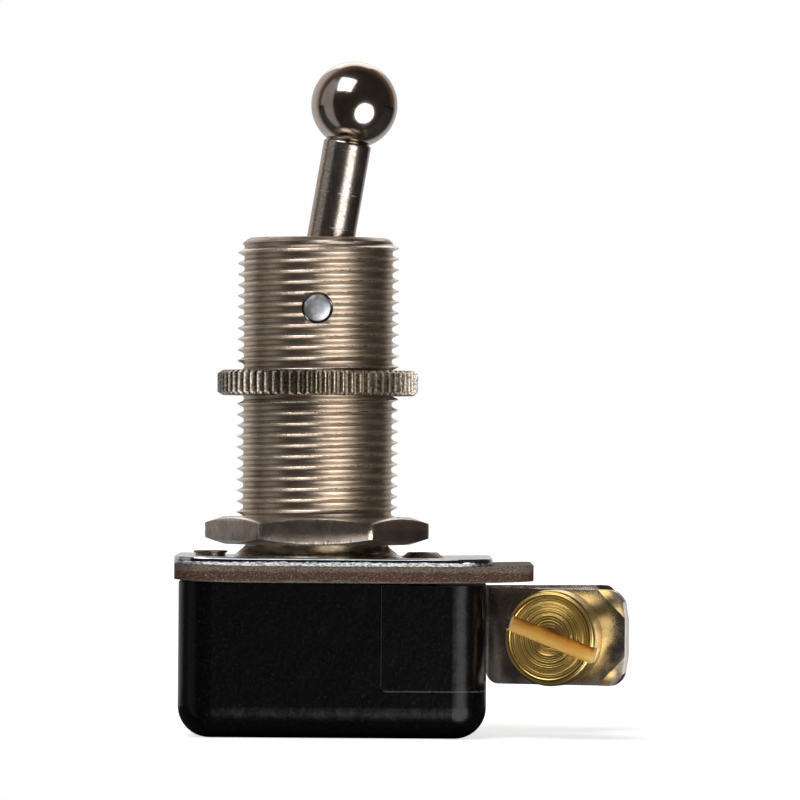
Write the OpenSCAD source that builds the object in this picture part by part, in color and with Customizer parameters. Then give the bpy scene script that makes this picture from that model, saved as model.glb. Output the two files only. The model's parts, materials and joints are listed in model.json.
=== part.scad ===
// Panel toggle switch, single pole, on and off, with a ball lever.
// A long threaded bushing carries two nuts that clamp a panel between them. The bushing is staked
// to a plated steel plate, which two rivets hold on a moulded case with a fibre insulator between.
// Units are millimetres. The origin is on the bushing's axis at the top of the mounting plate:
// +Z runs up the bushing, +X towards the terminals, and -Y is the front.

/* [Case] */
// Distance from the bushing's axis to the plain end of the case
case_left = 9.95; // [9.6:0.05:12]
// Distance from the bushing's axis to the terminal end of the case
case_right = 12.45; // [12:0.05:14]
// Depth of the case from front to back
case_depth = 16; // [15.6:0.2:20]
// Height of the moulded case
case_height = 11.3; // [11:0.05:13]
// Radius of the case's upright corners
case_corner_r = 2.5; // [2.4:0.05:2.8]
// Radius around the bottom edge of the case
case_edge_r = 2.3; // [1:0.05:2.3]
// Thickness of the case's front and back walls
case_wall = 1.6; // [1.2:0.1:1.8]
// Thickness of the case's floor
case_floor = 1.6; // [1.4:0.1:1.8]

/* [Terminal block] */
// Distance from the bushing's axis to the block's inner face
block_left = 4.77; // [4.6:0.01:4.9]
// Height of the block
block_height = 7.7; // [7.2:0.1:8]
// Gap between the top of the block and the insulator
block_top_gap = 0.16; // [0.1:0.01:0.3]
// Width of the parting line between block and case
block_parting = 0.08; // [0.04:0.01:0.15]
// Radius of the block's lower inner corner
block_corner_r = 0.45; // [0.3:0.05:0.8]

/* [Mounting plate and insulator] */
// Thickness of the steel mounting plate
plate_t = 0.55; // [0.4:0.05:0.8]
// How far the plate and insulator reach past the case's plain end
plate_lap = 0.32; // [0:0.02:0.6]
// How far the plate reaches past the case's terminal end
plate_lap_right = 0.42; // [0:0.02:1]
// Thickness of the fibre insulator
insulator_t = 1.2; // [0.8:0.1:1.6]
// How far the insulator's tongue reaches past the case's terminal end
tongue = 3.4; // [2:0.1:5]

/* [Bushing] */
// Outside diameter of the bushing's thread
thread_d = 11.84; // [11.6:0.02:12.1]
// Pitch of the bushing's thread
thread_pitch = 0.794; // [0.7:0.001:1]
// Depth of the thread from its crests to its roots
thread_depth = 0.48; // [0.3:0.01:0.55]
// Height of the bushing above the plate
bushing_h = 23.4; // [20:0.1:26]
// Chamfer at the bushing's top, measured along the radius
bushing_chamfer = 0.85; // [0.4:0.05:1]
// Radius of the rounded foot where it meets the plate
foot_r = 5.97; // [5.8:0.01:6.4]
// Height of the rounded foot
foot_h = 0.88; // [0.5:0.02:1.2]
// Diameter of the wide bore around the lever's tail
bore_d = 8.8; // [8.6:0.1:9]
// Diameter of the narrow bore around the lever's pivot
neck_bore_d = 7.4; // [7:0.1:7.8]

/* [Lever] */
// Diameter of the ball
ball_d = 6.35; // [5.5:0.05:8]
// Distance from the pivot to the centre of the ball
ball_reach = 15.25; // [13:0.05:18]
// Diameter of the lever's stem
stem_d = 3.5; // [3:0.1:3.8]
// Height of the lever's pivot above the plate
pivot_h = 18.2; // [16.5:0.1:18.6]
// Angle of the lever from upright at each end of its throw
throw = 9.6; // [8:0.1:10.5]
// Diameter of the lever's tail
tail_d = 2.9; // [2.7:0.1:3]
// Distance from the pivot to the spring seat on the tail
tail_reach = 14; // [12:0.1:14.2]
// Diameter of the pivot pin
pivot_d = 2.08; // [1.6:0.02:2.2]

/* [Nuts] */
// Width of the hex nut across its flats
hex_flats = 14.29; // [13.6:0.01:15]
// Thickness of the hex nut
hex_t = 2; // [1.6:0.1:2.4]
// Gap between the hex nut and the bushing's foot
hex_gap = 0.05; // [0.02:0.01:0.3]
// Diameter of the knurled nut over its teeth
knurl_d = 14.75; // [14:0.05:16]
// Thickness of the knurled nut
knurl_t = 1.85; // [1.5:0.05:2.5]
// Height of the knurled nut's underside above the plate
knurl_z = 11.84; // [10:0.02:13.5]
// Number of teeth around the knurled nut
knurl_teeth = 70; // [48:2:80]

/* [Terminals] */
// Thickness of the terminals
strap_t = 0.8; // [0.6:0.05:0.9]
// Distance from the case's centre plane to the middle of a terminal's strap
strap_y = 4.4; // [4.2:0.05:4.7]
// Angle at which the terminals splay apart
splay = 20; // [10:1:24]
// Length of a terminal's outer plate
lug_len = 10.35; // [9.5:0.05:12]
// Height of a terminal's outer plate
lug_h = 6.95; // [6.6:0.05:7.6]
// Height of the strap where it leaves the block
strap_h = 5.5; // [5.2:0.1:5.9]
// Leg of the corners folded up as wire guards
guard_leg = 2.2; // [1.6:0.1:3]
// Angle of the folded corners
guard_fold = 28; // [15:1:60]
// Radius inside the bend at a terminal's root
bend_r = 0.8; // [0.3:0.05:1]
// Diameter of a terminal screw's head
screw_head_d = 6.95; // [5.5:0.05:7.1]
// Thickness of a terminal screw's head
screw_head_t = 1.95; // [1.4:0.05:2.2]
// Outside diameter of the terminal screw's thread
screw_d = 3.4; // [2.8:0.1:3.5]
// Length of the terminal screw under its head
screw_len = 4.6; // [3:0.1:5]
// Distance from the terminal's bend to the middle of the screw
screw_reach = 5.15; // [4.8:0.05:6]
// Width of the screwdriver slot
slot_w = 1.15; // [0.8:0.05:1.3]

/* [Rivets] */
// Diameter of the rivets that hold plate, insulator and case
rivet_d = 2.2; // [1.8:0.1:2.3]
// Distance from the bushing's axis to each rivet
rivet_reach = 7.8; // [7.7:0.05:8.1]

/* [Contacts] */
// Angle of the rocker from upright at each end of its throw
rock = 11; // [9:0.5:11]
// Height of the contacts above the rocker's pin
contact_h = 4.9; // [4.6:0.1:5.1]
// Gap left between closed contacts
contact_gap = 0.1; // [0.05:0.01:0.2]
// Distance from the centre plane to each pair of contacts
contact_y = 3; // [2.9:0.05:3.1]
// Diameter of the contact faces
contact_d = 1.8; // [1.4:0.1:1.9]
// Thickness of the bridge strip
bridge_t = 0.5; // [0.3:0.05:0.6]
// Diameter of the rocker's pin
rocker_pin_d = 1.4; // [1.2:0.1:1.6]
// Outside diameter of the toggle spring
spring_d = 2.76; // [2.6:0.02:2.8]
// Diameter of the spring's wire
wire_d = 0.36; // [0.3:0.02:0.4]
// Number of the spring's turns
spring_turns = 9; // [6:1:11]

/* [Fits] */
// Radial clearance of pins, screws and nuts that turn or slide
running = 0.05; // [0.02:0.01:0.08]
// Radial clearance of rivets and staked parts in their holes
seat = 0.03; // [0.01:0.01:0.06]

/* [Hidden] */
$fn = 64;
eps = 0.02;
past = 1;

// Levels, counted down from the top of the mounting plate
insulator_top = -plate_t;
case_top = insulator_top - insulator_t;
case_bottom = case_top - case_height;
cavity_floor = case_bottom + case_floor;
block_top = case_top - block_top_gap;
block_bottom = block_top - block_height;
half_depth = case_depth / 2;

// Bushing: the staked lip under the plate holds the two together
thread_r = thread_d / 2;
spigot_r = bore_d / 2 + 0.5;
lip_r = spigot_r + 0.55;
lip_t = min(0.45, insulator_t / 2);
lip_space = 0.2;
foot_neck_r = foot_r - foot_h * 0.86;
thread_z = foot_h + 0.6;
thread_root_r = thread_r - thread_depth;
thread_ribs = ceil((bushing_h - thread_z) / thread_pitch);
chamfer_slope = 0.7;
neck_bore_h = 2.7;
mouth_t = 1;
mouth_gap = 0.1;
mouth_r = (bushing_h - pivot_h) * tan(throw) + stem_d / 2 / cos(throw) + mouth_gap;
pin_hole_r = pivot_d / 2 + 0.11;

// Lever
boss_r = pivot_d / 2 + 1.7;
nib_r = spring_d / 2 - wire_d - 0.12;
nib_h = 1;
ball_neck = 0.12;

// Nuts
hex_z = foot_h + hex_gap;
nut_bore_r = thread_r + running;
hex_chamfer = 0.46;
tooth_h = 0.36;
knurl_chamfer = 0.22;

// Rivets, and the columns of plastic round them
rivet_r = rivet_d / 2;
rivet_hole_r = rivet_r + running;
column_wall = 0.35;
rivet_head_r = rivet_r + 0.45;
rivet_head_t = 0.65;
rivet_head_edge = 0.2;
rivet_recess = case_floor - 0.2;
left_disc_z = 0.22;
left_disc_t = 0.2;
left_disc_lap = 0.16;
right_cone_h = 0.4;
right_cone_lap = 0.45;
cavity_left = rivet_reach - rivet_hole_r - column_wall;
pocket_right = rivet_reach - rivet_hole_r - 2 * column_wall;

// Terminals
strap_top = block_top - 0.18;
strap_space = 0.06;
bend_lap = 5;
bend_inset = 0.01;
button_t = 0.35;
shank_r = 0.5;
pad_w = 3;
lug_corner_r = 1.2;
lug_root_r = 0.9;
guard_lap = 0.6;
guard_reach = 2 * guard_leg;
collar_r = screw_d / 2 + 0.75;
collar_h = 0.9;
slot_depth = 0.95;
slot_turn_front = 21.5;
slot_turn_rear = -38;
screw_z = strap_top - lug_h / 2 - 0.05;

// Rocker, in its own frame: its pin is the origin, and upright is the middle of its throw
hub_r = rocker_pin_d / 2 + 0.65;
rocker_gap = 0.15;
rocker_z = cavity_floor + hub_r + rocker_gap;
fixed_tip = pocket_right - strap_t - button_t;
moving_tip = (fixed_tip - contact_gap - contact_h * sin(rock)) / cos(rock);
contact_z = rocker_z - moving_tip * sin(rock) + contact_h * cos(rock);
arm_t = 1.05;
arm_w = contact_d + 0.2;
arm_x = moving_tip - button_t - bridge_t;
arm_h = contact_h + contact_d / 2 + 0.1;
rocker_half_w = contact_y + arm_w / 2;
pad_edge = 0.6;
pad_h = max(strap_h, strap_top - contact_z + shank_r + pad_edge);
seat_h = hub_r + 0.15;
seat_half = spring_d / 2 + 0.5;
post_t = 1.4;
post_w = rocker_pin_d + 1.8;

// A square with true arcs of radius r at its corners, from its lower left corner
module round_rect(l, w, r) {
    translate([r, 0]) square([l - 2 * r, w]);
    translate([0, r]) square([l, w - 2 * r]);
    for (x = [r, l - r], y = [r, w - r]) translate([x, y]) circle(r);
}

// The case's outline seen from above, grown past its ends
module plan(left, right, depth) {
    translate([-case_left - left, -depth / 2])
        round_rect(case_left + case_right + left + right, depth, case_corner_r);
}

// A quarter of the case's rounded rim: upright wall, rounded bottom edge
module case_rim(h) {
    square([case_corner_r - case_edge_r, h]);
    translate([0, case_edge_r]) square([case_corner_r, h - case_edge_r]);
    translate([case_corner_r - case_edge_r, case_edge_r]) intersection() {
        circle(case_edge_r);
        translate([0, -case_edge_r]) square(case_edge_r);
    }
}

// The case's full outside form, standing on z = 0
module case_form() {
    l = case_left + case_right - 2 * case_corner_r;
    w = case_depth - 2 * case_corner_r;
    translate([-case_left + case_corner_r, -w / 2, 0]) {
        cube([l, w, case_height]);
        for (side = [0, 1]) translate([0, side * w, 0]) mirror([0, 1 - side, 0])
            rotate([90, 0, 90]) linear_extrude(l) case_rim(case_height);
        for (side = [0, 1]) translate([side * l, 0, 0]) mirror([1 - side, 0, 0])
            translate([0, w, 0]) rotate([90, 0, 0]) linear_extrude(w) case_rim(case_height);
        for (x = [0, 1], y = [0, 1]) translate([x * l, y * w, 0])
            mirror([1 - x, 0, 0]) mirror([0, 1 - y, 0])
                rotate_extrude(angle = 90) case_rim(case_height);
    }
}

module y_cylinder(r, h) {
    rotate([90, 0, 0]) cylinder(r = r, h = h, center = true);
}

module x_cylinder(r, h) {
    rotate([0, 90, 0]) cylinder(r = r, h = h);
}

// The notch that takes the terminal block, with the gap given around it
module block_notch(gap) {
    x0 = block_left - gap;
    translate([0, half_depth + past, 0]) rotate([90, 0, 0]) linear_extrude(case_depth + 2 * past) {
        translate([x0, block_bottom + block_corner_r])
            square([case_right + past - x0, block_height + past]);
        translate([x0 + block_corner_r, block_bottom])
            square([case_right + past - x0 - block_corner_r, block_height]);
        translate([x0 + block_corner_r, block_bottom + block_corner_r]) circle(block_corner_r);
    }
}

module rivet_holes(r, z, h) {
    for (side = [-1, 1]) translate([side * rivet_reach, 0, z]) cylinder(r = r, h = h);
}

module case() {
    color("#17161a") difference() {
        union() {
            difference() {
                translate([0, 0, case_bottom]) case_form();
                translate([-cavity_left, -half_depth + case_wall, cavity_floor])
                    cube([cavity_left + block_left, case_depth - 2 * case_wall, case_height]);
                block_notch(block_parting);
            }
            posts();
            stop_rib();
        }
        rivet_holes(rivet_hole_r, case_bottom - past, case_height + 2 * past);
        rivet_holes(rivet_head_r + 0.2, case_bottom - past, rivet_recess + past);
    }
}

// Two saddles on the case's floor that carry the rocker's pin
module posts() {
    for (side = [-1, 1]) difference() {
        translate([-post_w / 2, side * (rocker_half_w + rocker_gap + post_t / 2) - post_t / 2,
            cavity_floor - eps]) cube([post_w, post_t, rocker_z - cavity_floor + rocker_pin_d + eps]);
        translate([0, side * rocker_half_w, rocker_z]) {
            y_cylinder(rocker_pin_d / 2 + seat, 4 * post_t);
            translate([-rocker_pin_d / 2 - seat, -2 * post_t, 0])
                cube([rocker_pin_d + 2 * seat, 4 * post_t, 2 * rocker_pin_d]);
        }
    }
}

// A rib on the floor that stops the rocker when the contacts are open
module stop_rib() {
    rib_top = rocker_z - seat_half * sin(rock) - 0.1;
    translate([-seat_half - 0.6, -rocker_half_w, cavity_floor - eps])
        cube([0.8, 2 * rocker_half_w, rib_top - cavity_floor + eps]);
}

module terminal_block() {
    slot_r = strap_t / 2 + strap_space;
    color("#1b1a1f") difference() {
        intersection() {
            translate([0, 0, block_bottom]) linear_extrude(block_height) plan(0, 0, case_depth);
            block_notch(0);
        }
        // room for the contact pads against the inner face
        translate([block_left - past, -strap_y - slot_r, block_bottom - past])
            cube([pocket_right - block_left + past, 2 * (strap_y + slot_r),
                block_height + 2 * past]);
        // slots that the terminals drop into from above
        for (side = [-1, 1])
            translate([pocket_right - eps, side * strap_y - slot_r, strap_top - strap_h - strap_space])
                cube([case_right, 2 * slot_r, strap_h + past]);
        rivet_holes(rivet_hole_r, block_bottom - past, block_height + 2 * past);
    }
}

module insulator_plate() {
    color("#6b4634") difference() {
        translate([0, 0, case_top]) linear_extrude(insulator_t)
            plan(plate_lap, tongue, case_depth + plate_lap);
        translate([0, 0, case_top - past])
            cylinder(r = lip_r + lip_space, h = insulator_t + 2 * past);
        rivet_holes(rivet_hole_r, case_top - past, insulator_t + 2 * past);
    }
}

module mounting_plate() {
    color("#aeb4bd") difference() {
        translate([0, 0, -plate_t]) linear_extrude(plate_t)
            plan(plate_lap, plate_lap_right, case_depth + plate_lap);
        translate([0, 0, -plate_t - past]) cylinder(r = spigot_r + seat, h = plate_t + 2 * past);
        rivet_holes(rivet_hole_r, -plate_t - past, plate_t + 2 * past);
    }
}

// The thread's edge from its foot up, one V rib to each pitch, with narrow crests and roots
thread_edge = [
    for (i = [0:thread_ribs - 1], p = [[1, 0], [7, thread_depth], [9, thread_depth], [15, 0]])
        [thread_root_r + p[1], thread_z + (i + p[0] / 16) * thread_pitch]
];

// Half of the bushing's section: spigot and staked lip below the plate, rounded foot, thread
module bushing_section() {
    translate([0, -plate_t - lip_t]) square([spigot_r, plate_t + lip_t + eps]);
    translate([0, -plate_t - lip_t]) square([lip_r, lip_t]);
    square([foot_r - foot_h, foot_h]);
    intersection() {
        translate([foot_r - foot_h, 0]) circle(foot_h);
        square([foot_r, foot_h]);
    }
    polygon(concat(
        [[0, foot_h - eps], [foot_neck_r, foot_h - eps], [foot_neck_r, foot_h]], thread_edge,
        [[thread_root_r, bushing_h + thread_pitch], [0, bushing_h + thread_pitch]]
    ));
}

// What is cut away above the bushing's chamfered top
module bushing_end() {
    far = thread_r + past;
    top = bushing_h + thread_pitch + past;
    rotate_extrude() polygon([
        [0, bushing_h], [thread_r - bushing_chamfer, bushing_h],
        [far, bushing_h - chamfer_slope * (bushing_chamfer + past)], [far, top], [0, top]
    ]);
}

module bushing() {
    color("#b9ad98") difference() {
        // turned so that the surface starts and ends at the pin's hole
        rotate([0, 0, 90]) rotate_extrude() bushing_section();
        bushing_end();
        translate([0, 0, -plate_t - lip_t - past])
            cylinder(d = bore_d, h = pivot_h - neck_bore_h + plate_t + lip_t + past);
        translate([0, 0, pivot_h - neck_bore_h - past])
            cylinder(d = neck_bore_d, h = bushing_h - mouth_t - pivot_h + neck_bore_h + past);
        cylinder(r = mouth_r, h = bushing_h + past);
        translate([0, 0, pivot_h]) y_cylinder(pin_hole_r, 2 * thread_d);
    }
}

// Domed ends stand just under the thread's crests
module pivot_pin() {
    reach = thread_r - 0.35;
    dome = 0.3;
    color("#8d8a86") translate([0, 0, pivot_h]) rotate([90, 0, 0]) rotate_extrude() polygon([
        [0, -reach], [pivot_d / 2 - dome, -reach + 0.05], [pivot_d / 2, -reach + dome],
        [pivot_d / 2, reach - dome], [pivot_d / 2 - dome, reach - 0.05], [0, reach]
    ]);
}

// The lever's frame: its pivot is the origin and its own axis is upright
module lever_frame() {
    translate([0, 0, pivot_h]) rotate([0, throw, 0]) children();
}

module lever() {
    color("#77736f") lever_frame() difference() {
        rotate_extrude() intersection() {
            union() {
                translate([0, ball_reach]) circle(d = ball_d);
                translate([-stem_d / 2, 0]) square([stem_d, ball_reach - ball_d / 2 - ball_neck]);
                translate([-stem_d / 2 + ball_neck, 0])
                    square([stem_d - 2 * ball_neck, ball_reach]);
                circle(boss_r);
                translate([-tail_d / 2, -tail_reach]) square([tail_d, tail_reach]);
                translate([-nib_r, -tail_reach - nib_h]) square([2 * nib_r, tail_reach]);
            }
            translate([0, -tail_reach - past - nib_h])
                square([ball_d, tail_reach + ball_reach + ball_d + nib_h + past]);
        }
        y_cylinder(pivot_d / 2 + running, ball_d);
    }
}

// The spring bows from the seat on the lever's tail to the seat on the rocker. Its middle line is
// a cubic curve that leaves each seat square to it, and the wire winds round that line.
spring_lift = wire_d / 2 + 0.04;
spring_top = [-(tail_reach + spring_lift) * sin(throw),
    pivot_h - (tail_reach + spring_lift) * cos(throw)];
spring_bottom = [(seat_h + spring_lift) * sin(rock),
    rocker_z + (seat_h + spring_lift) * cos(rock)];
spring_pull = 0.9 * (spring_top[1] - spring_bottom[1]);
top_way = -spring_pull * [sin(throw), cos(throw)];
bottom_way = -spring_pull * [sin(rock), cos(rock)];
wind_r = (spring_d - wire_d) / 2;
wire_sides = 6;
rings_per_turn = 14;
rings = spring_turns * rings_per_turn;

function line_at(t) =
    (2 * t * t * t - 3 * t * t + 1) * spring_top + (t * t * t - 2 * t * t + t) * top_way
    + (3 * t * t - 2 * t * t * t) * spring_bottom + (t * t * t - t * t) * bottom_way;
function slope_at(t) =
    (6 * t * t - 6 * t) * spring_top + (3 * t * t - 4 * t + 1) * top_way
    + (6 * t - 6 * t * t) * spring_bottom + (3 * t * t - 2 * t) * bottom_way;
function across_at(t) = let (s = slope_at(t)) [s[1], -s[0]] / norm(s);
// a point at this distance out from the middle line, turned by this angle
function out_at(t, r, a) = let (p = line_at(t), n = across_at(t))
    [p[0] + n[0] * r * cos(a), r * sin(a), p[1] + n[1] * r * cos(a)];
// a point on the wire's skin: the wire's own circle stands along the line and away from it
function wire_point(i, j) = let (
    t = i / rings, a = 360 * spring_turns * t, b = 360 * j / wire_sides,
    s = slope_at(t) / norm(slope_at(t)),
    c = out_at(t, wind_r + wire_d / 2 * cos(b), a)
) c + wire_d / 2 * sin(b) * [s[0], 0, s[1]];

module toggle_spring() {
    points = [for (i = [0:rings], j = [0:wire_sides - 1]) wire_point(i, j)];
    sides = [for (i = [0:rings - 1], j = [0:wire_sides - 1], half = [0, 1]) let (
        k = (j + 1) % wire_sides, a = i * wire_sides, b = a + wire_sides
    ) half == 0 ? [a + j, a + k, b + k] : [a + j, b + k, b + j]];
    first = [for (j = [wire_sides - 1:-1:0]) j];
    last = [for (j = [0:wire_sides - 1]) rings * wire_sides + j];
    color("#9c9fa3") polyhedron(points, concat(sides, [first, last]), convexity = 10);
}

module hex_nut() {
    corner_r = hex_flats / 2 / cos(30);
    slope = corner_r - hex_flats / 2 + 0.25;
    color("#8d8078") translate([0, 0, hex_z]) difference() {
        intersection() {
            cylinder(r = corner_r, h = hex_t, $fn = 6);
            rotate_extrude() polygon([
                [0, 0], [corner_r - slope, 0], [corner_r + eps, hex_chamfer],
                [corner_r + eps, hex_t - hex_chamfer], [corner_r - slope, hex_t], [0, hex_t]
            ]);
        }
        translate([0, 0, -past]) cylinder(r = nut_bore_r, h = hex_t + 2 * past);
    }
}

module knurled_nut() {
    step = 360 / knurl_teeth;
    r = knurl_d / 2;
    color("#8a8178") translate([0, 0, knurl_z]) difference() {
        intersection() {
            linear_extrude(knurl_t) polygon([
                for (i = [0:knurl_teeth - 1], p = [[0, r - tooth_h], [0.3, r], [0.7, r]])
                    p[1] * [cos((i + p[0]) * step), sin((i + p[0]) * step)]
            ]);
            rotate_extrude() polygon([
                [0, 0], [r - tooth_h - eps, 0], [r + eps, knurl_chamfer],
                [r + eps, knurl_t - knurl_chamfer], [r - tooth_h - eps, knurl_t], [0, knurl_t]
            ]);
        }
        translate([0, 0, -past]) cylinder(r = nut_bore_r, h = knurl_t + 2 * past);
    }
}

// A rivet from the top of the plate to a head sunk in the case's underside
module rivet_shank(top) {
    foot = case_bottom + rivet_recess - rivet_head_t;
    translate([0, 0, foot]) cylinder(r = rivet_r, h = top - foot);
    translate([0, 0, foot])
        cylinder(r1 = rivet_head_r - rivet_head_edge, r2 = rivet_head_r, h = rivet_head_edge);
    translate([0, 0, foot + rivet_head_edge])
        cylinder(r = rivet_head_r, h = rivet_head_t - rivet_head_edge);
}

module rivet_left() {
    color("#6f6658") translate([-rivet_reach, 0, 0]) {
        rivet_shank(left_disc_z + eps);
        translate([0, 0, left_disc_z]) cylinder(r = rivet_r + left_disc_lap, h = left_disc_t);
    }
}

module rivet_right() {
    color("#7d7568") translate([rivet_reach, 0, 0]) {
        rivet_shank(eps);
        cylinder(r1 = rivet_r + right_cone_lap, r2 = rivet_r, h = right_cone_h);
    }
}

// The splayed frame of the front terminal: x runs out along the plate, the plate fills
// y = 0 to strap_t, and its outer face looks towards -y
module lug_frame() {
    translate([case_right, -strap_y - strap_t / 2 - bend_r, 0])
        rotate([0, 0, -splay]) translate([0, bend_r, 0]) children();
}

// The outer plate's outline, x along it and y up from its lower edge
module lug_outline() {
    difference() {
        square([lug_len, lug_h]);
        for (c = [[lug_len, lug_h, lug_corner_r], [lug_len, 0, lug_corner_r], [0, 0, lug_root_r]])
            difference() {
                translate([c[0] - c[2], c[1] - c[2]]) square(2 * c[2]);
                translate([c[0] == 0 ? c[2] : c[0] - c[2], c[1] == 0 ? c[2] : c[1] - c[2]])
                    circle(c[2]);
                translate(c[0] == 0 ? [c[2], -past] : [-past, -past])
                    square([c[0] == 0 ? lug_len : lug_len - c[2] + past, lug_h + 2 * past]);
                translate(c[1] == 0 ? [-past, c[2]] : [-past, -past])
                    square([lug_len + 2 * past, c[1] == 0 ? lug_h : lug_h - c[2] + past]);
            }
    }
}

// The frame of an outer corner's fold line: x runs down the fold line from the plate's edge, and
// z points out over the corner. side is 1 at the top corner and -1 at the lower one.
module fold_frame(side) {
    translate([lug_len - guard_leg, 0, strap_top - lug_h / 2 + side * lug_h / 2])
        rotate([0, side * 45, 0]) mirror([0, 0, side > 0 ? 0 : 1]) children();
}

// Flat sheet up to just short of the fold lines
module lug_flat() {
    far = 4 * guard_leg;
    difference() {
        translate([-past, 0, strap_top - lug_h - past])
            cube([lug_len + 2 * past, strap_t, lug_h + 2 * past]);
        for (side = [-1, 1]) fold_frame(side)
            translate([-far / 2, -past, -guard_lap / 2]) cube([2 * far, strap_t + 2 * past, far]);
    }
}

// Sheet bent forward along a corner's fold line, with a mitred back
module lug_fold(side) {
    tip = guard_reach * [cos(guard_fold), -sin(guard_fold)];
    fold_frame(side) translate([guard_leg * sqrt(2) + past, 0, 0]) rotate([0, -90, 0])
        linear_extrude(guard_leg * sqrt(2) + 2 * past) polygon([
            [-guard_lap, 0], [0, 0], tip,
            tip + strap_t * [sin(guard_fold), cos(guard_fold)],
            strap_t * [tan(guard_fold / 2), 1], [-guard_lap, strap_t]
        ]);
}

// The outer plate with both outer corners folded forward
module lug() {
    intersection() {
        union() {
            lug_flat();
            for (side = [-1, 1]) lug_fold(side);
        }
        translate([0, strap_t + past, strap_top - lug_h]) rotate([90, 0, 0])
            linear_extrude(strap_t + past + guard_reach) lug_outline();
    }
}

module terminal() {
    lug_frame() difference() {
        union() {
            lug();
            translate([screw_reach, strap_t - eps, screw_z]) rotate([-90, 0, 0])
                cylinder(r = collar_r, h = collar_h + eps);
        }
        translate([screw_reach, 0, screw_z]) y_cylinder(screw_d / 2 + running, 8 * strap_t);
    }
    // the bend where the strap leaves the block, a hair thinner than the sheet it joins
    translate([case_right, -strap_y - strap_t / 2 - bend_r, strap_top - strap_h])
        rotate([0, 0, 90 - splay - bend_lap]) rotate_extrude(angle = splay + 2 * bend_lap)
            translate([bend_r + bend_inset, bend_inset])
                square([strap_t - 2 * bend_inset, strap_h - 2 * bend_inset]);
    difference() {
        union() {
            translate([pocket_right - strap_t, -strap_y - strap_t / 2, strap_top - strap_h])
                cube([case_right - pocket_right + strap_t, strap_t, strap_h]);
            translate([pocket_right - strap_t, -strap_y - strap_t / 2, strap_top - pad_h])
                cube([strap_t, pad_w, pad_h]);
        }
        translate([pocket_right - strap_t - past, -contact_y, contact_z])
            x_cylinder(shank_r + seat, strap_t + 2 * past);
    }
}

module front_terminal() {
    color("#7c766f") terminal();
}

module rear_terminal() {
    color("#7c766f") mirror([0, 1, 0]) terminal();
}

module terminal_screw(turn) {
    edge = 0.3;
    point = 0.4;
    color("#a08a45") lug_frame() translate([screw_reach, 0, screw_z]) rotate([90, turn, 0])
        difference() {
            rotate_extrude() polygon([
                [0, -screw_len], [screw_d / 2 - point, -screw_len], [screw_d / 2, -screw_len + point],
                [screw_d / 2, 0], [screw_head_d / 2, 0], [screw_head_d / 2, screw_head_t - edge],
                [screw_head_d / 2 - edge, screw_head_t], [0, screw_head_t]
            ]);
            translate([-screw_head_d, -slot_w / 2, screw_head_t - slot_depth])
                cube([2 * screw_head_d, slot_w, slot_depth + past]);
        }
}

module front_terminal_screw() {
    terminal_screw(slot_turn_front);
}

module rear_terminal_screw() {
    mirror([0, 1, 0]) terminal_screw(slot_turn_rear);
}

// A contact rivet along x: a low dome whose tip is at the origin, and a shank behind it
module contact_rivet(shank) {
    dome = 0.12;
    r = contact_d / 2;
    rotate([0, 90, 0]) rotate_extrude() polygon([
        [0, 0], [r * 0.55, dome / 3], [r, dome * 1.5], [r, button_t], [shank_r, button_t],
        [shank_r, button_t + shank], [0, button_t + shank]
    ]);
}

module fixed_contact(side) {
    color("#c9c6bd") translate([fixed_tip, side * contact_y, contact_z]) contact_rivet(strap_t);
}

module front_fixed_contact() {
    fixed_contact(-1);
}

module rear_fixed_contact() {
    fixed_contact(1);
}

module rocker_frame() {
    translate([0, 0, rocker_z]) rotate([0, rock, 0]) children();
}

module rocker() {
    color("#4a3326") rocker_frame() difference() {
        union() {
            y_cylinder(hub_r, 2 * rocker_half_w);
            translate([-seat_half, -rocker_half_w, 0])
                cube([seat_half + arm_x, 2 * rocker_half_w, seat_h]);
            for (side = [-1, 1])
                translate([arm_x - arm_t, side * contact_y - arm_w / 2, 0])
                    cube([arm_t, arm_w, arm_h]);
            translate([0, 0, seat_h - eps]) cylinder(r = nib_r, h = nib_h + eps);
        }
        y_cylinder(rocker_pin_d / 2 + running, 4 * rocker_half_w);
        contact_holes();
    }
}

// Holes for the moving contacts' shanks, through arms and strip
module contact_holes() {
    for (side = [-1, 1]) translate([arm_x - arm_t - past, side * contact_y, contact_h])
        x_cylinder(shank_r + seat, arm_t + bridge_t + 2 * past);
}

module rocker_pin() {
    color("#8f9296") translate([0, 0, rocker_z])
        y_cylinder(rocker_pin_d / 2, 2 * (rocker_half_w + rocker_gap + post_t) - rocker_gap);
}

module bridge_strip() {
    color("#b07a3c") rocker_frame() difference() {
        translate([arm_x, -rocker_half_w, contact_h - contact_d / 2 - 0.1])
            cube([bridge_t, 2 * rocker_half_w, contact_d + 0.2]);
        contact_holes();
    }
}

module moving_contact(side) {
    color("#c9c6bd") rocker_frame() translate([moving_tip, side * contact_y, contact_h])
        mirror([1, 0, 0]) contact_rivet(bridge_t + arm_t);
}

module front_moving_contact() {
    moving_contact(-1);
}

module rear_moving_contact() {
    moving_contact(1);
}

case();
terminal_block();
insulator_plate();
mounting_plate();
bushing();
pivot_pin();
lever();
toggle_spring();
hex_nut();
knurled_nut();
rivet_left();
rivet_right();
front_terminal();
rear_terminal();
front_terminal_screw();
rear_terminal_screw();
front_fixed_contact();
rear_fixed_contact();
rocker();
rocker_pin();
bridge_strip();
front_moving_contact();
rear_moving_contact();
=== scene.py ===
"""Looks of a panel toggle switch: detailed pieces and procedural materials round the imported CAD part.

Everything is written in millimetres here and scaled to metres when a piece is made. The frame is the
part's own: the origin is on the bushing's axis at the top of the mounting plate, +Z runs up the
bushing, +X towards the terminals and -Y is the front.
"""

import json
import math

import bmesh
import bpy
from mathutils import Matrix, Vector


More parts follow.
